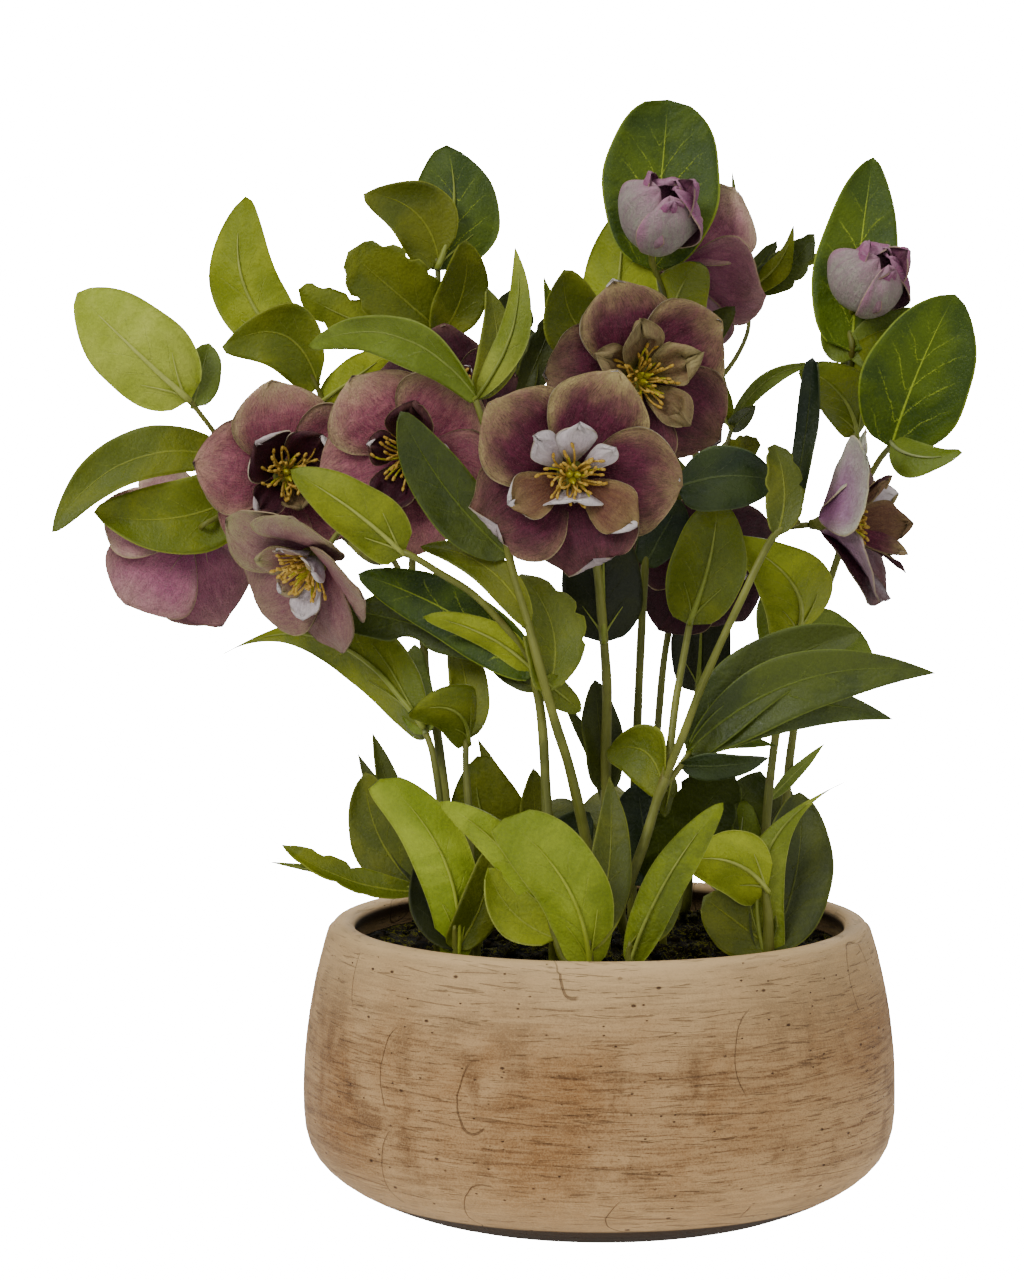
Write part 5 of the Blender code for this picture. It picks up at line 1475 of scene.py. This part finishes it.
SHOOTS = (
    Shoot("shoot_left_front", (-3, -42), (
        Stalk(((598, 915, -36), (588, 850, -42), (570, 770, -50), (556, 725, -54), (543, 680, -57), (527, 620, -54),
              (510, 560, -51), (500, 500, -52.5), (490, 445, -53), (475, 398, -52)), 5.0, 2.7),
    ), (
        Leaf((502, 556), (400, 411, -62), 25, Look.DARK, bow=-4, arch=-3),
        Leaf((474, 398), (513, 245, -40), 14, Look.RIBBED, turn=155, bow=-9, form=LANCE),
        Leaf((476, 400), (486, 290, -30), 17, Look.OLIVE, turn=20, bow=7),
        Leaf((470, 392), (307, 348, -42), 21, Look.GREY, turn=-30, arch=4, bow=19),
        Leaf((548, 690), (522, 572, -34), 27, Look.BRIGHT, turn=15, bow=8, form=TOOTHED),
        Leaf((543, 680), (582, 712, -48), 12, Look.BRIGHT, turn=170),
        Leaf((528, 625), (420, 545, -38), 15, Look.OLIVE, turn=12, bow=8, arch=4),
    )),
    Shoot("shoot_left_branch", (-19, -56), (
        Stalk(((554, 915, -50), (549, 850, -48), (546, 790, -46), (543, 735, -45), (539, 700, -45), (533, 668, -45)),
              4.6, 3.8),
        Stalk(((536, 690, -45), (526, 655, -46), (480, 600, -51), (440, 573, -56), (405, 553, -58), (372, 546, -44)),
              3.2, 2.4, "nodding"),
        Stalk(((405, 553, -58), (376, 562, -32), (352, 545, 0), (322, 508, 22)), 2.6, 2.3, "left"),
        Stalk(((348, 540, 4), (312, 512, 30), (258, 482, 30), (232, 455, 28), (205, 420, 18), (188, 398, 14)), 2.6,
              2.1),
        Stalk(((312, 512, 30), (262, 500, 40)), 2.4, 2.1, "left_back"),
    ), (
        Leaf((400, 552), (290, 471, -64), 25, Look.LIGHT, turn=168, bow=-3, arch=-4, form=BROAD),
        Leaf((535, 672), (360, 574, -26), 25, Look.VEINED, turn=-8, bow=5, arch=3),
        Leaf((534, 668), (262, 602, -5), 19, Look.DARK, turn=-14, bow=6, form=LOBED),
        Leaf((534, 670), (423, 617, -50), 13, Look.LIGHT, turn=160, bow=-5),
        Leaf((537, 690), (490, 669, -40), 7, Look.SHADE, form=LANCE),
        Leaf((189, 399), (77, 292, 6), 39, Look.PALE, turn=172, arch=-5),
        Leaf((192, 404), (210, 342, 26), 17, Look.GREY, turn=10),
        Leaf((236, 462), (52, 532, 4), 24, Look.BRIGHT, turn=22, arch=6, bow=15),
        Leaf((258, 484), (94, 512, 16), 33, Look.BRIGHT, turn=8, bow=-9, arch=4),
    )),
    Shoot("shoot_front", (2, -8), (
        Stalk(((606, 905, -6), (606, 850, -6), (606, 750, -10), (607, 690, -14), (603, 630, -22), (596, 560, -34),
              (584, 505, -42)), 5.0, 3.2, "front"),
    ), (
        Leaf((604, 640), (604, 520, -24), 34, Look.SHADOW, turn=176, arch=-2),
        Leaf((606, 790), (594, 680, -2), 18, Look.SHADE, turn=20),
        Leaf((606, 812), (553, 688, 12), 7, Look.SHADE, turn=40, bow=4, form=LANCE),
    )),
    Shoot("shoot_upper", (15, 12), (
        Stalk(((632, 905, 12), (634, 800, 12), (637, 730, 10), (641, 640, 6), (645, 565, 2), (650, 480, 4),
              (655, 420, 2)), 4.1, 2.9, "upper"),
        Stalk(((647, 525, 2), (662, 498, -12), (680, 487, -24)), 2.6, 2.3),
    ), (
        Leaf((645, 563), (681, 500, -6), 18, Look.BLUE, turn=10, form=TOOTHED),
        Leaf((680, 487), (777, 482, -20), 27, Look.BLUE, turn=6, arch=5, bow=-4),
        Leaf((650, 470), (596, 420, 66), 26, Look.OLIVE, turn=30),
    )),
    Shoot("shoot_centre_back", (24, 30), (
        Stalk(((645, 900, 30), (651, 800, 32), (657, 735, 34), (664, 660, 48), (674, 605, 62), (682, 575, 67)), 3.8,
              2.7, "centre_back"),
    )),
    Shoot("shoot_right", (14, -46), (
        Stalk(((620, 915, -44), (629, 885, -44), (645, 840, -43), (657, 800, -42), (666, 775, -42), (671, 740, -38),
              (676, 700, -34), (683, 660, -30), (690, 622, -26)), 4.9, 2.7),
        Stalk(((664, 782, -42), (683, 735, -47), (700, 690, -50), (722, 640, -52), (742, 598, -52), (760, 560, -50),
              (776, 534, -45), (797, 522, -32)), 3.5, 2.6, "right"),
        Stalk(((661, 790, -42), (676, 772, -40), (690, 752, -36)), 3.0, 2.4),
    ), (
        Leaf((690, 622), (718, 498, -16), 32, Look.BRIGHT, turn=172, arch=-4, bow=-3),
        Leaf((690, 750), (862, 632, -40), 27, Look.DARK, turn=-8, arch=5, bow=-8),
        Leaf((690, 750), (936, 673, -46), 26, Look.DARK, turn=4, arch=5, bow=-14, form=LANCE),
        Leaf((690, 751), (893, 719, -38), 21, Look.DARK, turn=6, arch=4, bow=-12, form=LANCE),
        Leaf((682, 764), (768, 757, -30), 13, Look.BLUE, turn=30, arch=4, form=LANCE),
        Leaf((690, 755), (776, 745, -12), 9, Look.MEADOW, turn=-30, bow=-4, form=LANCE),
        Leaf((668, 778), (664, 816, -34), 9, Look.OLIVE, turn=150),
        Leaf((790, 525), (815, 357, -22), 10, Look.BLACK, turn=-20, bow=1, form=STRAP),
        Leaf((777, 534), (774, 444, -30), 17, Look.OLIVE, turn=20, bow=4, form=TOOTHED),
        Leaf((660, 790), (606, 752, -22), 24, Look.BRIGHT, turn=-12, bow=9),
    )),
    Shoot("shoot_right_left_stem", (63, 6), (
        Stalk(((758, 900, 6), (764, 850, 8), (769, 790, 10), (775, 740, 12), (784, 680, 14), (793, 635, 12)), 4.1,
              3.2),
    ), (
        Leaf((793, 632), (727, 538, -18), 32, Look.LIGHT, turn=165, arch=-6, bow=-14, form=BROAD),
        Leaf((786, 668), (765, 592, 28), 17, Look.GREY, turn=14),
        Leaf((790, 650), (872, 655, 26), 19, Look.GREY, turn=-16, bow=-8),
        Leaf((766, 800), (823, 744, 34), 6, Look.GREY, turn=20, form=LANCE),
    )),
    Shoot("shoot_right_tall", (72, 22), (
        Stalk(((778, 900, 22), (784, 830, 23), (788, 775, 24), (793, 735, 26), (800, 690, 30), (812, 640, 36),
              (832, 575, 42), (856, 505, 42), (878, 462, 34), (894, 443, 22)), 4.1, 2.6),
        Stalk(((856, 505, 42), (856, 440, 54), (850, 385, 52), (852, 345, 44)), 2.9, 2.4, "bud_right"),
    ), (
        Leaf((894, 445), (955, 293, 10), 46, Look.MEADOW, turn=6, bow=-2, arch=3),
        Leaf((896, 443), (963, 453, 0), 17, Look.GREY, turn=150, bow=-7, arch=-3),
        Leaf((852, 350), (873, 160, 62), 37, Look.MEADOW, bow=-1, form=BROAD),
        Leaf((851, 356), (823, 327, 48), 15, Look.GREY, turn=10),
        Leaf((851, 356), (925, 312, 40), 21, Look.GREY, turn=-12),
        Leaf((852, 400), (905, 334, 26), 32, Look.BRIGHT, turn=165, form=BROAD),
        Leaf((856, 436), (800, 366, 34), 24, Look.BRIGHT, turn=170, bow=-6),
        Leaf((862, 492), (850, 560, 92), 26, Look.OLIVE, turn=160),
    )),
    Shoot("shoot_back", (36, 62), (
        Stalk(((687, 900, 63), (690, 830, 62), (694, 760, 60), (699, 690, 62), (703, 630, 72), (702, 560, 88),
              (698, 480, 84), (688, 400, 72), (676, 340, 62), (664, 292, 44)), 4.3, 2.7, "bud_top"),
        Stalk(((676, 340, 62), (668, 300, 76), (662, 275, 76)), 2.4, 2.3, "top"),
        Stalk(((690, 410, 74), (645, 368, 50), (606, 350, 38), (560, 382, 34), (520, 402, 32)), 2.6, 2.0),
        Stalk(((688, 400, 72), (724, 374, 70), (748, 330, 78), (743, 290, 88)), 2.3, 1.8),
        Stalk(((699, 490, 84), (722, 455, 50), (733, 425, 28)), 2.4, 2.0),
    ), (
        Leaf((520, 402), (510, 290, 34), 20, Look.SHADE, turn=8, form=TOOTHED),
        Leaf((522, 402), (556, 314, 30), 15, Look.SHADE, turn=12, form=TOOTHED),
        Leaf((606, 350), (563, 269, 18), 29, Look.BRIGHT, turn=10, bow=-6),
        Leaf((585, 362), (544, 277, 34), 9, Look.GREY, turn=30, bow=-3, form=LANCE),
        Leaf((612, 352), (626, 206, 40), 35, Look.LIGHT, turn=168, form=BROAD),
        Leaf((651, 268), (668, 101, 50), 50, Look.MEADOW, form=ROUND),
        Leaf((680, 352), (700, 262, 20), 26, Look.LIGHT, turn=165, bow=6),
        Leaf((686, 392), (736, 306, 44), 15, Look.SHADE, turn=165, bow=5),
        Leaf((742, 288), (776, 241, 92), 9, Look.DARK, turn=12, form=TOOTHED_LANCE),
        Leaf((742, 289), (815, 234, 84), 17, Look.DARK, turn=-8, bow=4, form=TOOTHED_LANCE),
        Leaf((735, 291), (794, 226, 78), 11, Look.BRIGHT, turn=150, bow=-6, form=LANCE),
        Leaf((738, 291), (836, 256, 88), 9, Look.BRIGHT, turn=150, bow=4, form=LANCE),
        Leaf((732, 295), (732, 171, 92), 5, Look.GREY, form=LANCE),
        Leaf((733, 428), (822, 362, 22), 8, Look.GREY, turn=25, bow=-8, form=LANCE),
        Leaf((733, 427), (722, 368, 16), 9, Look.BRIGHT, turn=160, bow=3, form=LANCE),
        Leaf((732, 430), (757, 404, 12), 8, Look.DARK, form=LANCE),
        Leaf((722, 455), (762, 445, 34), 13, Look.OLIVE, turn=-14, form=TOOTHED),
        Leaf((697, 690), (704, 590, 70), 27, Look.SHADOW, turn=165),
        Leaf((700, 520), (640, 450, 112), 30, Look.OLIVE, turn=150, arch=-8),
    )),
    Shoot("shoot_left_tall", (-50, -12), (
        Stalk(((456, 900, -14), (448, 820, -14), (441, 760, -14), (434, 715, -10), (426, 675, -4), (423, 640, 2),
              (413, 595, 10), (414, 540, 22), (425, 490, 34), (438, 440, 42), (442, 385, 40), (440, 335, 38),
              (438, 275, 42), (437, 258, 42)), 4.3, 2.4),
        Stalk(((413, 595, 10), (372, 520, 28), (338, 440, 32), (316, 385, 28), (296, 350, 28)), 2.7, 2.1),
        Stalk(((414, 540, 22), (409, 512, 4), (406, 488, -9)), 2.6, 2.3, "left_middle"),
        Stalk(((438, 440, 42), (445, 425, 36)), 2.4, 2.3, "left_dark"),
    ), (
        Leaf((440, 335), (298, 290, 32), 19, Look.LIGHT, turn=168, bow=5, form=TOOTHED),
        Leaf((439, 330), (349, 252, 22), 32, Look.BRIGHT, turn=6, form=TOOTHED),
        Leaf((438, 262), (363, 194, 34), 30, Look.OLIVE, turn=8, bow=9, form=BROAD),
        Leaf((438, 268), (447, 146, 56), 40, Look.MEADOW, turn=172, bow=-5),
        Leaf((440, 334), (465, 239, 24), 23, Look.OLIVE, turn=20, bow=5),
        Leaf((296, 350), (245, 196, 30), 31, Look.LIGHT, turn=170, bow=12),
        Leaf((316, 384), (222, 347, 16), 30, Look.BRIGHT, bow=14),
        Leaf((324, 402), (392, 352, 16), 18, Look.LIGHT, turn=170),
        Leaf((424, 640), (449, 634, -6), 9, Look.GREY, turn=20, form=LANCE),
        Leaf((430, 470), (380, 470, 104), 30, Look.OLIVE, turn=150, arch=-8),
    )),
    Shoot("shoot_left_short", (-53, -34), (
        Stalk(((450, 895, -36), (441, 810, -36), (433, 755, -34), (424, 728, -32)), 3.5, 2.7),
    ), (
        Leaf((423, 728), (217, 656, 42), 32, Look.BRIGHT, turn=165, bow=-22, form=TAPER),
        Leaf((425, 730), (414, 642, -2), 15, Look.GREY, turn=170, bow=2),
    )),
    Shoot("shoot_left_folded", (-50, -44), (
        Stalk(((472, 900, -44), (470, 830, -43), (466, 770, -40), (466, 738, -38)), 3.3, 2.7),
    ), (
        Leaf((466, 738), (453, 640, -16), 17, Look.OLIVE, turn=10, bow=3, cup=0.35),
        Leaf((466, 742), (408, 714, -58), 23, Look.BRIGHT, turn=165, bow=-10),
    )),
    Shoot("leaves_left", (-66, -20), (
        Stalk(((436, 925, -14), (430, 903, -28), (420, 888, -36)), 3.3, 2.4),
    ), (
        Leaf((424, 888), (282, 844, -44), 13, Look.BRIGHT, turn=30, bow=-6, cup=0.3, form=TOOTHED_LANCE),
        Leaf((412, 876), (270, 862, -34), 5, Look.BRIGHT, turn=160, form=LANCE),
        Leaf((420, 882), (365, 772, -34), 25, Look.OLIVE, turn=-10, bow=-6),
        Leaf((426, 890), (371, 735, -18), 14, Look.SHADE, turn=15, form=LANCE),
        Leaf((424, 886), (358, 753, -24), 11, Look.SHADE, turn=10, form=LANCE),
    )),
    Shoot("leaves_left_front", (-58, -63), (
        Stalk(((455, 940, -53), (454, 925, -56)), 5.0, 1.5),
    ), (
        Leaf((455, 962), (380, 777, -66), 24, Look.BASAL, turn=176, bow=-11, form=STRAP),
        Leaf((455, 950), (424, 852, -42), 17, Look.SHADOW, turn=20, bow=-5),
        Leaf((455, 950), (490, 850, -60), 19, Look.OLIVE, turn=14, bow=4),
    )),
    Shoot("leaves_front", (-6, -84), (
        Stalk(((590, 955, -72), (589, 940, -74)), 5.0, 1.5),
        Stalk(((588, 966, -71), (566, 962, -70), (557, 945, -70), (548, 912, -70)), 3.0, 2.6),
    ), (
        Leaf((590, 968), (504, 820, -86), 30, Look.BASAL, turn=174, bow=-9, form=STRAP),
        Leaf((549, 918), (440, 800, -76), 17, Look.BASAL, turn=168, bow=-5),
        Leaf((553, 935), (487, 868, -70), 20, Look.LIGHT, turn=10, bow=-5),
        Leaf((590, 950), (608, 779, -44), 18, Look.OLIVE, turn=8, bow=4, form=LANCE),
    )),
    Shoot("leaves_middle_front", (11, -82), (
        Stalk(((629, 955, -70), (630, 942, -72)), 5.0, 1.5),
    ), (
        Leaf((629, 966), (722, 803, -84), 17, Look.LEMON, turn=172, bow=4),
        Leaf((629, 945), (684, 868, -60), 10, Look.OLIVE, turn=20, bow=5, form=LANCE),
    )),
    Shoot("leaves_right_front", (66, -58), (
        Stalk(((768, 945, -46), (768, 915, -48), (764, 885, -50)), 6.0, 2.4),
    ), (
        Leaf((768, 957), (846, 781, -58), 23, Look.RIBBED, turn=170, bow=17, form=TAPER),
        Leaf((765, 890), (680, 862, -62), 28, Look.LIGHT, turn=165, bow=-7, form=BROAD),
        Leaf((767, 945), (703, 897, -44), 28, Look.OLIVE, turn=10),
        Leaf((768, 950), (800, 792, -26), 32, Look.SHADE, turn=6, bow=5),
    )),
    Shoot("leaves_right_back", (54, 34), (
        Stalk(((733, 900, 34), (736, 880, 32)), 3.3, 2.7),
    ), (
        Leaf((736, 882), (745, 800, 26), 19, Look.GREY, turn=165),
        Leaf((736, 880), (790, 788, 46), 22, Look.SHADE, turn=10),
        Leaf((736, 880), (760, 770, 26), 26, Look.DARK, turn=10, bow=-6),
        Leaf((735, 890), (760, 850, 96), 26, Look.OLIVE, turn=160),
    )),
    Shoot("leaves_middle", (26, 0), (
        Stalk(((652, 905, 0), (652, 880, 0)), 3.3, 2.7),
    ), (
        Leaf((652, 885), (637, 782, 2), 30, Look.BLUE, turn=6),
        Leaf((650, 880), (732, 775, -22), 31, Look.DARK, turn=4, bow=-1, form=TOOTHED),
    )),
    Shoot("leaves_middle_left", (-26, -8), (
        Stalk(((540, 905, -8), (538, 880, -8)), 3.3, 2.7),
    ), (
        Leaf((538, 880), (477, 756, -18), 36, Look.OLIVE, turn=165, bow=9),
        Leaf((538, 880), (533, 768, -14), 16, Look.OLIVE, turn=30),
        Leaf((539, 880), (590, 812, 10), 22, Look.BLUE, turn=8),
        Leaf((538, 878), (476, 738, 4), 12, Look.OLIVE, turn=170, form=LANCE),
    )),
    Shoot("leaves_back", (-6, 66), (
        Stalk(((592, 895, 67), (592, 870, 70)), 3.5, 2.9),
    ), (
        Leaf((592, 878), (548, 800, 104), 30, Look.OLIVE, turn=160, arch=-6),
        Leaf((592, 874), (618, 790, 108), 30, Look.OLIVE, turn=165, arch=-6),
        Leaf((592, 880), (512, 850, 92), 26, Look.OLIVE, turn=160, arch=-4),
    )),
)


@dataclass(frozen=True)
class Bowl:
    """The round bowl: a bulging hand-thrown wall with a rounded rim on a flat foot, in millimetres."""

    height: float = POT_HEIGHT
    radius: float = POT_RADIUS
    widest_at: float = POT_WIDEST_AT
    foot: float = FOOT_RADIUS
    rim_outer: float = RIM_OUTER
    rim_inner: float = RIM_INNER
    wall: float = WALL
    sides: int = 160
    uneven: float = 0.35
    bend: float = 4.0  # the rim's rounding
    chamfer: float = 0.8
    steady: float = 0.5  # the bowl is true up to this height

    def wall_radius(self, height: float) -> float:
        """The outer radius at a height: a bulge from the foot up to the rim."""
        if height < self.widest_at:
            share = 1 - height / self.widest_at
            return self.radius - (self.radius - self.foot) * share**3.5
        share = (height - self.widest_at) / (self.height - self.widest_at)
        return self.radius - (self.radius - self.rim_outer) * share**2

    def build(self) -> bpy.types.Object:
        """Spins the wall round and gives it the slight unevenness of a hand-thrown bowl."""
        shoulder = self.height - self.bend
        outer = [(self.wall_radius(0) - self.chamfer, 0.0), (self.wall_radius(0.6), self.chamfer)]
        outer += [(self.wall_radius(h), h) for h in (2, 3.5, 5.5, 8, 11, 14.5, 18, 22, 27, 33, 40, 48, 56, 64, 72, 80)]
        outer += [(self.wall_radius(h), h) for h in (88, 95, 101, 106, 110, shoulder)]
        middle, half = (self.rim_outer + self.rim_inner) / 2, (self.rim_outer - self.rim_inner) / 2
        rim = [(middle + half * math.cos(a), shoulder + self.bend * math.sin(a))
               for a in (math.radians(d) for d in range(12, 180, 12))]
        inner = [(self.rim_inner, shoulder)]
        inner += [(self.wall_radius(h) - self.wall, h) for h in (100, 84, 66, 48, 36, 28)]
        floor = [(self.foot + 6, FLOOR_THICK), (0, FLOOR_THICK)]
        mould = Mould()
        verts = mould.turned([(0, 0), *outer, *rim, *inner, *floor], self.sides, ClayFinish())
        for vertex in verts:
            spot = vertex.co / MM
            if spot.z > self.steady:
                angle = math.atan2(spot.y, spot.x)
                around = Vector((math.cos(angle), math.sin(angle), 0))
                push = noise.noise(around * 1.6 + UP * spot.z * 0.018)
                push += 0.4 * noise.noise(around * 5 + UP * spot.z * 0.11)
                vertex.co += around * self.uneven * push * MM
        return mould.finished("bowl", "pot")


@dataclass(frozen=True)
class Soil:
    """The potting soil: lumps and crumbs over the bowl's width, in millimetres."""

    top: float = SOIL_TOP
    lump: float = SOIL_LUMP
    edge: float = RIM_INNER + 1.4
    rings: int = 46
    sides: int = 120
    crumbs: int = 900
    calm: float = 6  # the width along its edge over which the lumps fade out

    def height(self, x: float, y: float) -> float:
        """The soil's height over the point x, y: the lumps of the solid and finer ones on them."""
        lumps = math.sin(x * 0.17 + 1.1) * math.cos(y * 0.19 - 0.4) + 0.6 * math.sin(x * 0.33 - y * 0.27)
        fine = 1.3 * noise.noise(Vector((x, y, 3)) * 0.16) + 1.0 * noise.noise(Vector((x, y, 9)) * 0.42)
        return self.top + self.lump * lumps + fine

    def build(self) -> bpy.types.Object:
        """Builds the ground down to the bowl's floor and strews crumbs over it."""
        bowl = Bowl()
        finish = SoilFinish()
        mould = Mould()
        flat = [(self.edge * k / self.rings, self.top) for k in range(self.rings + 1)]
        side = [(bowl.wall_radius(h) - WALL - 1.0, h) for h in (84, 48)]
        side += [(bowl.wall_radius(28) - WALL - 1.2, 28), (FOOT_RADIUS + 5, FLOOR_THICK + GAP), (0, FLOOR_THICK + GAP)]
        for vertex in mould.turned(flat + side, self.sides, finish):
            if abs(vertex.co.z - self.top * MM) < 0.1 * MM:
                fade = min(1.0, (self.edge - math.hypot(vertex.co.x, vertex.co.y) / MM) / self.calm)
                vertex.co.z += fade * (self.height(vertex.co.x / MM, vertex.co.y / MM) - self.top) * MM
        draw = random.Random(11)
        for k in range(self.crumbs):
            far, angle = (self.edge - 4) * math.sqrt(draw.random()), draw.uniform(0, 6.283)
            x, y = far * math.cos(angle), far * math.sin(angle)
            size = draw.uniform(0.7, 2.4) * (1.4 if draw.random() > 0.9 else 1)
            place = Vector((x, y, self.height(x, y) + size * 0.3)) * MM
            shape = Vector((size, size * draw.uniform(0.6, 1), size * draw.uniform(0.5, 0.9))) * MM
            mould.lump(place, shape, finish, 0.5, k * 0.7)
        return mould.finished("soil_dressed", "soil")


@dataclass(frozen=True)
class Studio:
    """The pale floor, the soft lights and the camera at the photograph's viewpoint, in metres."""

    floor_reach: float = 1.5
    floor_down: float = 0.0003  # keeps the floor off the bowl's foot
    sensor: float = 36.0
    near: float = 0.05  # where the camera starts to see
    shown: float = 24.0  # how much brighter the surroundings are to the camera than the light that they give
    given: float = 0.45
    lit: tuple[float, float, float] = (-0.03, 0, 0.22)

    def floor(self) -> None:
        """Lays the floor."""
        work = bmesh.new()
        bmesh.ops.create_circle(work, cap_ends=True, segments=64, radius=self.floor_reach)
        mesh = bpy.data.meshes.new("floor")
        work.transform(Matrix.Translation((0, 0, -self.floor_down)))
        work.to_mesh(mesh)
        work.free()
        mesh.materials.append(FloorFinish().applied())
        set_down("floor", mesh)

    def light(self, name: str, place: Vector, size: float, power: float) -> None:
        """Adds a soft square light that looks at the plant's middle."""
        lamp = bpy.data.lights.new(name, "AREA")
        lamp.size = size
        lamp.energy = power
        turned = (Vector(self.lit) - place).to_track_quat("-Z", "Y").to_matrix().to_4x4()
        set_down(name, lamp).matrix_world = Matrix.Translation(place) @ turned

    def world(self) -> None:
        """Sets the white surroundings: bright where the camera sees them, softer as light."""
        world = bpy.data.worlds.new("studio")
        world.use_nodes = True
        tree = Tree(world.node_tree)
        back = world.node_tree.nodes["Background"]
        ray = tree.put("LightPath").outputs["Is Camera Ray"]
        back.inputs["Color"].default_value = (1.0, 1.0, 1.0, 1)
        world.node_tree.links.new(tree.calc("MULTIPLY_ADD", ray, self.shown, self.given), back.inputs["Strength"])
        bpy.context.scene.world = world

    def camera(self) -> None:
        """Sets the camera where the photograph was taken."""
        forward, right, up, reach = VIEW.axes()
        lens = bpy.data.cameras.new("camera")
        lens.sensor_width = self.sensor
        lens.lens = self.sensor * reach / (VIEW.long_side * VIEW.pixel)
        lens.clip_start = self.near
        stand = set_down("camera", lens)
        turned = Matrix((right, up, -forward)).transposed().to_4x4()
        stand.matrix_world = Matrix.Translation(VIEW.eye) @ turned
        bpy.context.scene.camera = stand

    def build(self) -> None:
        """Sets up the whole studio."""
        self.floor()
        self.world()
        for name, place, size, power in (
            ("key_light", (-1.5, -1.5, 1.9), 1.0, 52), ("front_light", (0.5, -2.4, 1.0), 1.6, 13),
            ("right_light", (2.0, -0.7, 1.3), 1.2, 8), ("top_light", (-0.1, 0.4, 2.4), 1.4, 24),
            ("back_light", (0.6, 1.9, 1.2), 1.4, 12),
        ):
            self.light(name, Vector(place), size, power)
        self.camera()


def main() -> None:
    """Builds the studio, the bowl and the plant in order, and reports each piece."""
    logging.basicConfig(level=logging.INFO, format="%(name)s: %(message)s")
    Studio().build()
    pieces = [Bowl().build(), Soil().build()]
    ends = {bloom.name: bloom.end() for bloom in BLOOMS}
    ends.update({bud.name: bud.end() for bud in BUDS})
    number = 0
    for shoot in SHOOTS:
        pieces.append(shoot.build(ends, number))
        number += len(shoot.leaves)
    for index, bloom in enumerate(BLOOMS):
        pieces.append(bloom.build_petals(index))
        pieces.append(bloom.build_stamens(index))
    for index, bud in enumerate(BUDS):
        pieces.append(bud.build(index))
    for piece in pieces:
        log.info("%s: %d faces", piece.name, len(piece.data.polygons))
    log.info("%d pieces, %d faces", len(pieces), sum(len(piece.data.polygons) for piece in pieces))
    plain = set(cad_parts) - {node for piece in pieces for node in piece["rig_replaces"]}
    if plain:
        raise ValueError(f"nodes without a dressed piece: {sorted(plain)}")


if __name__ == "__main__":
    main()
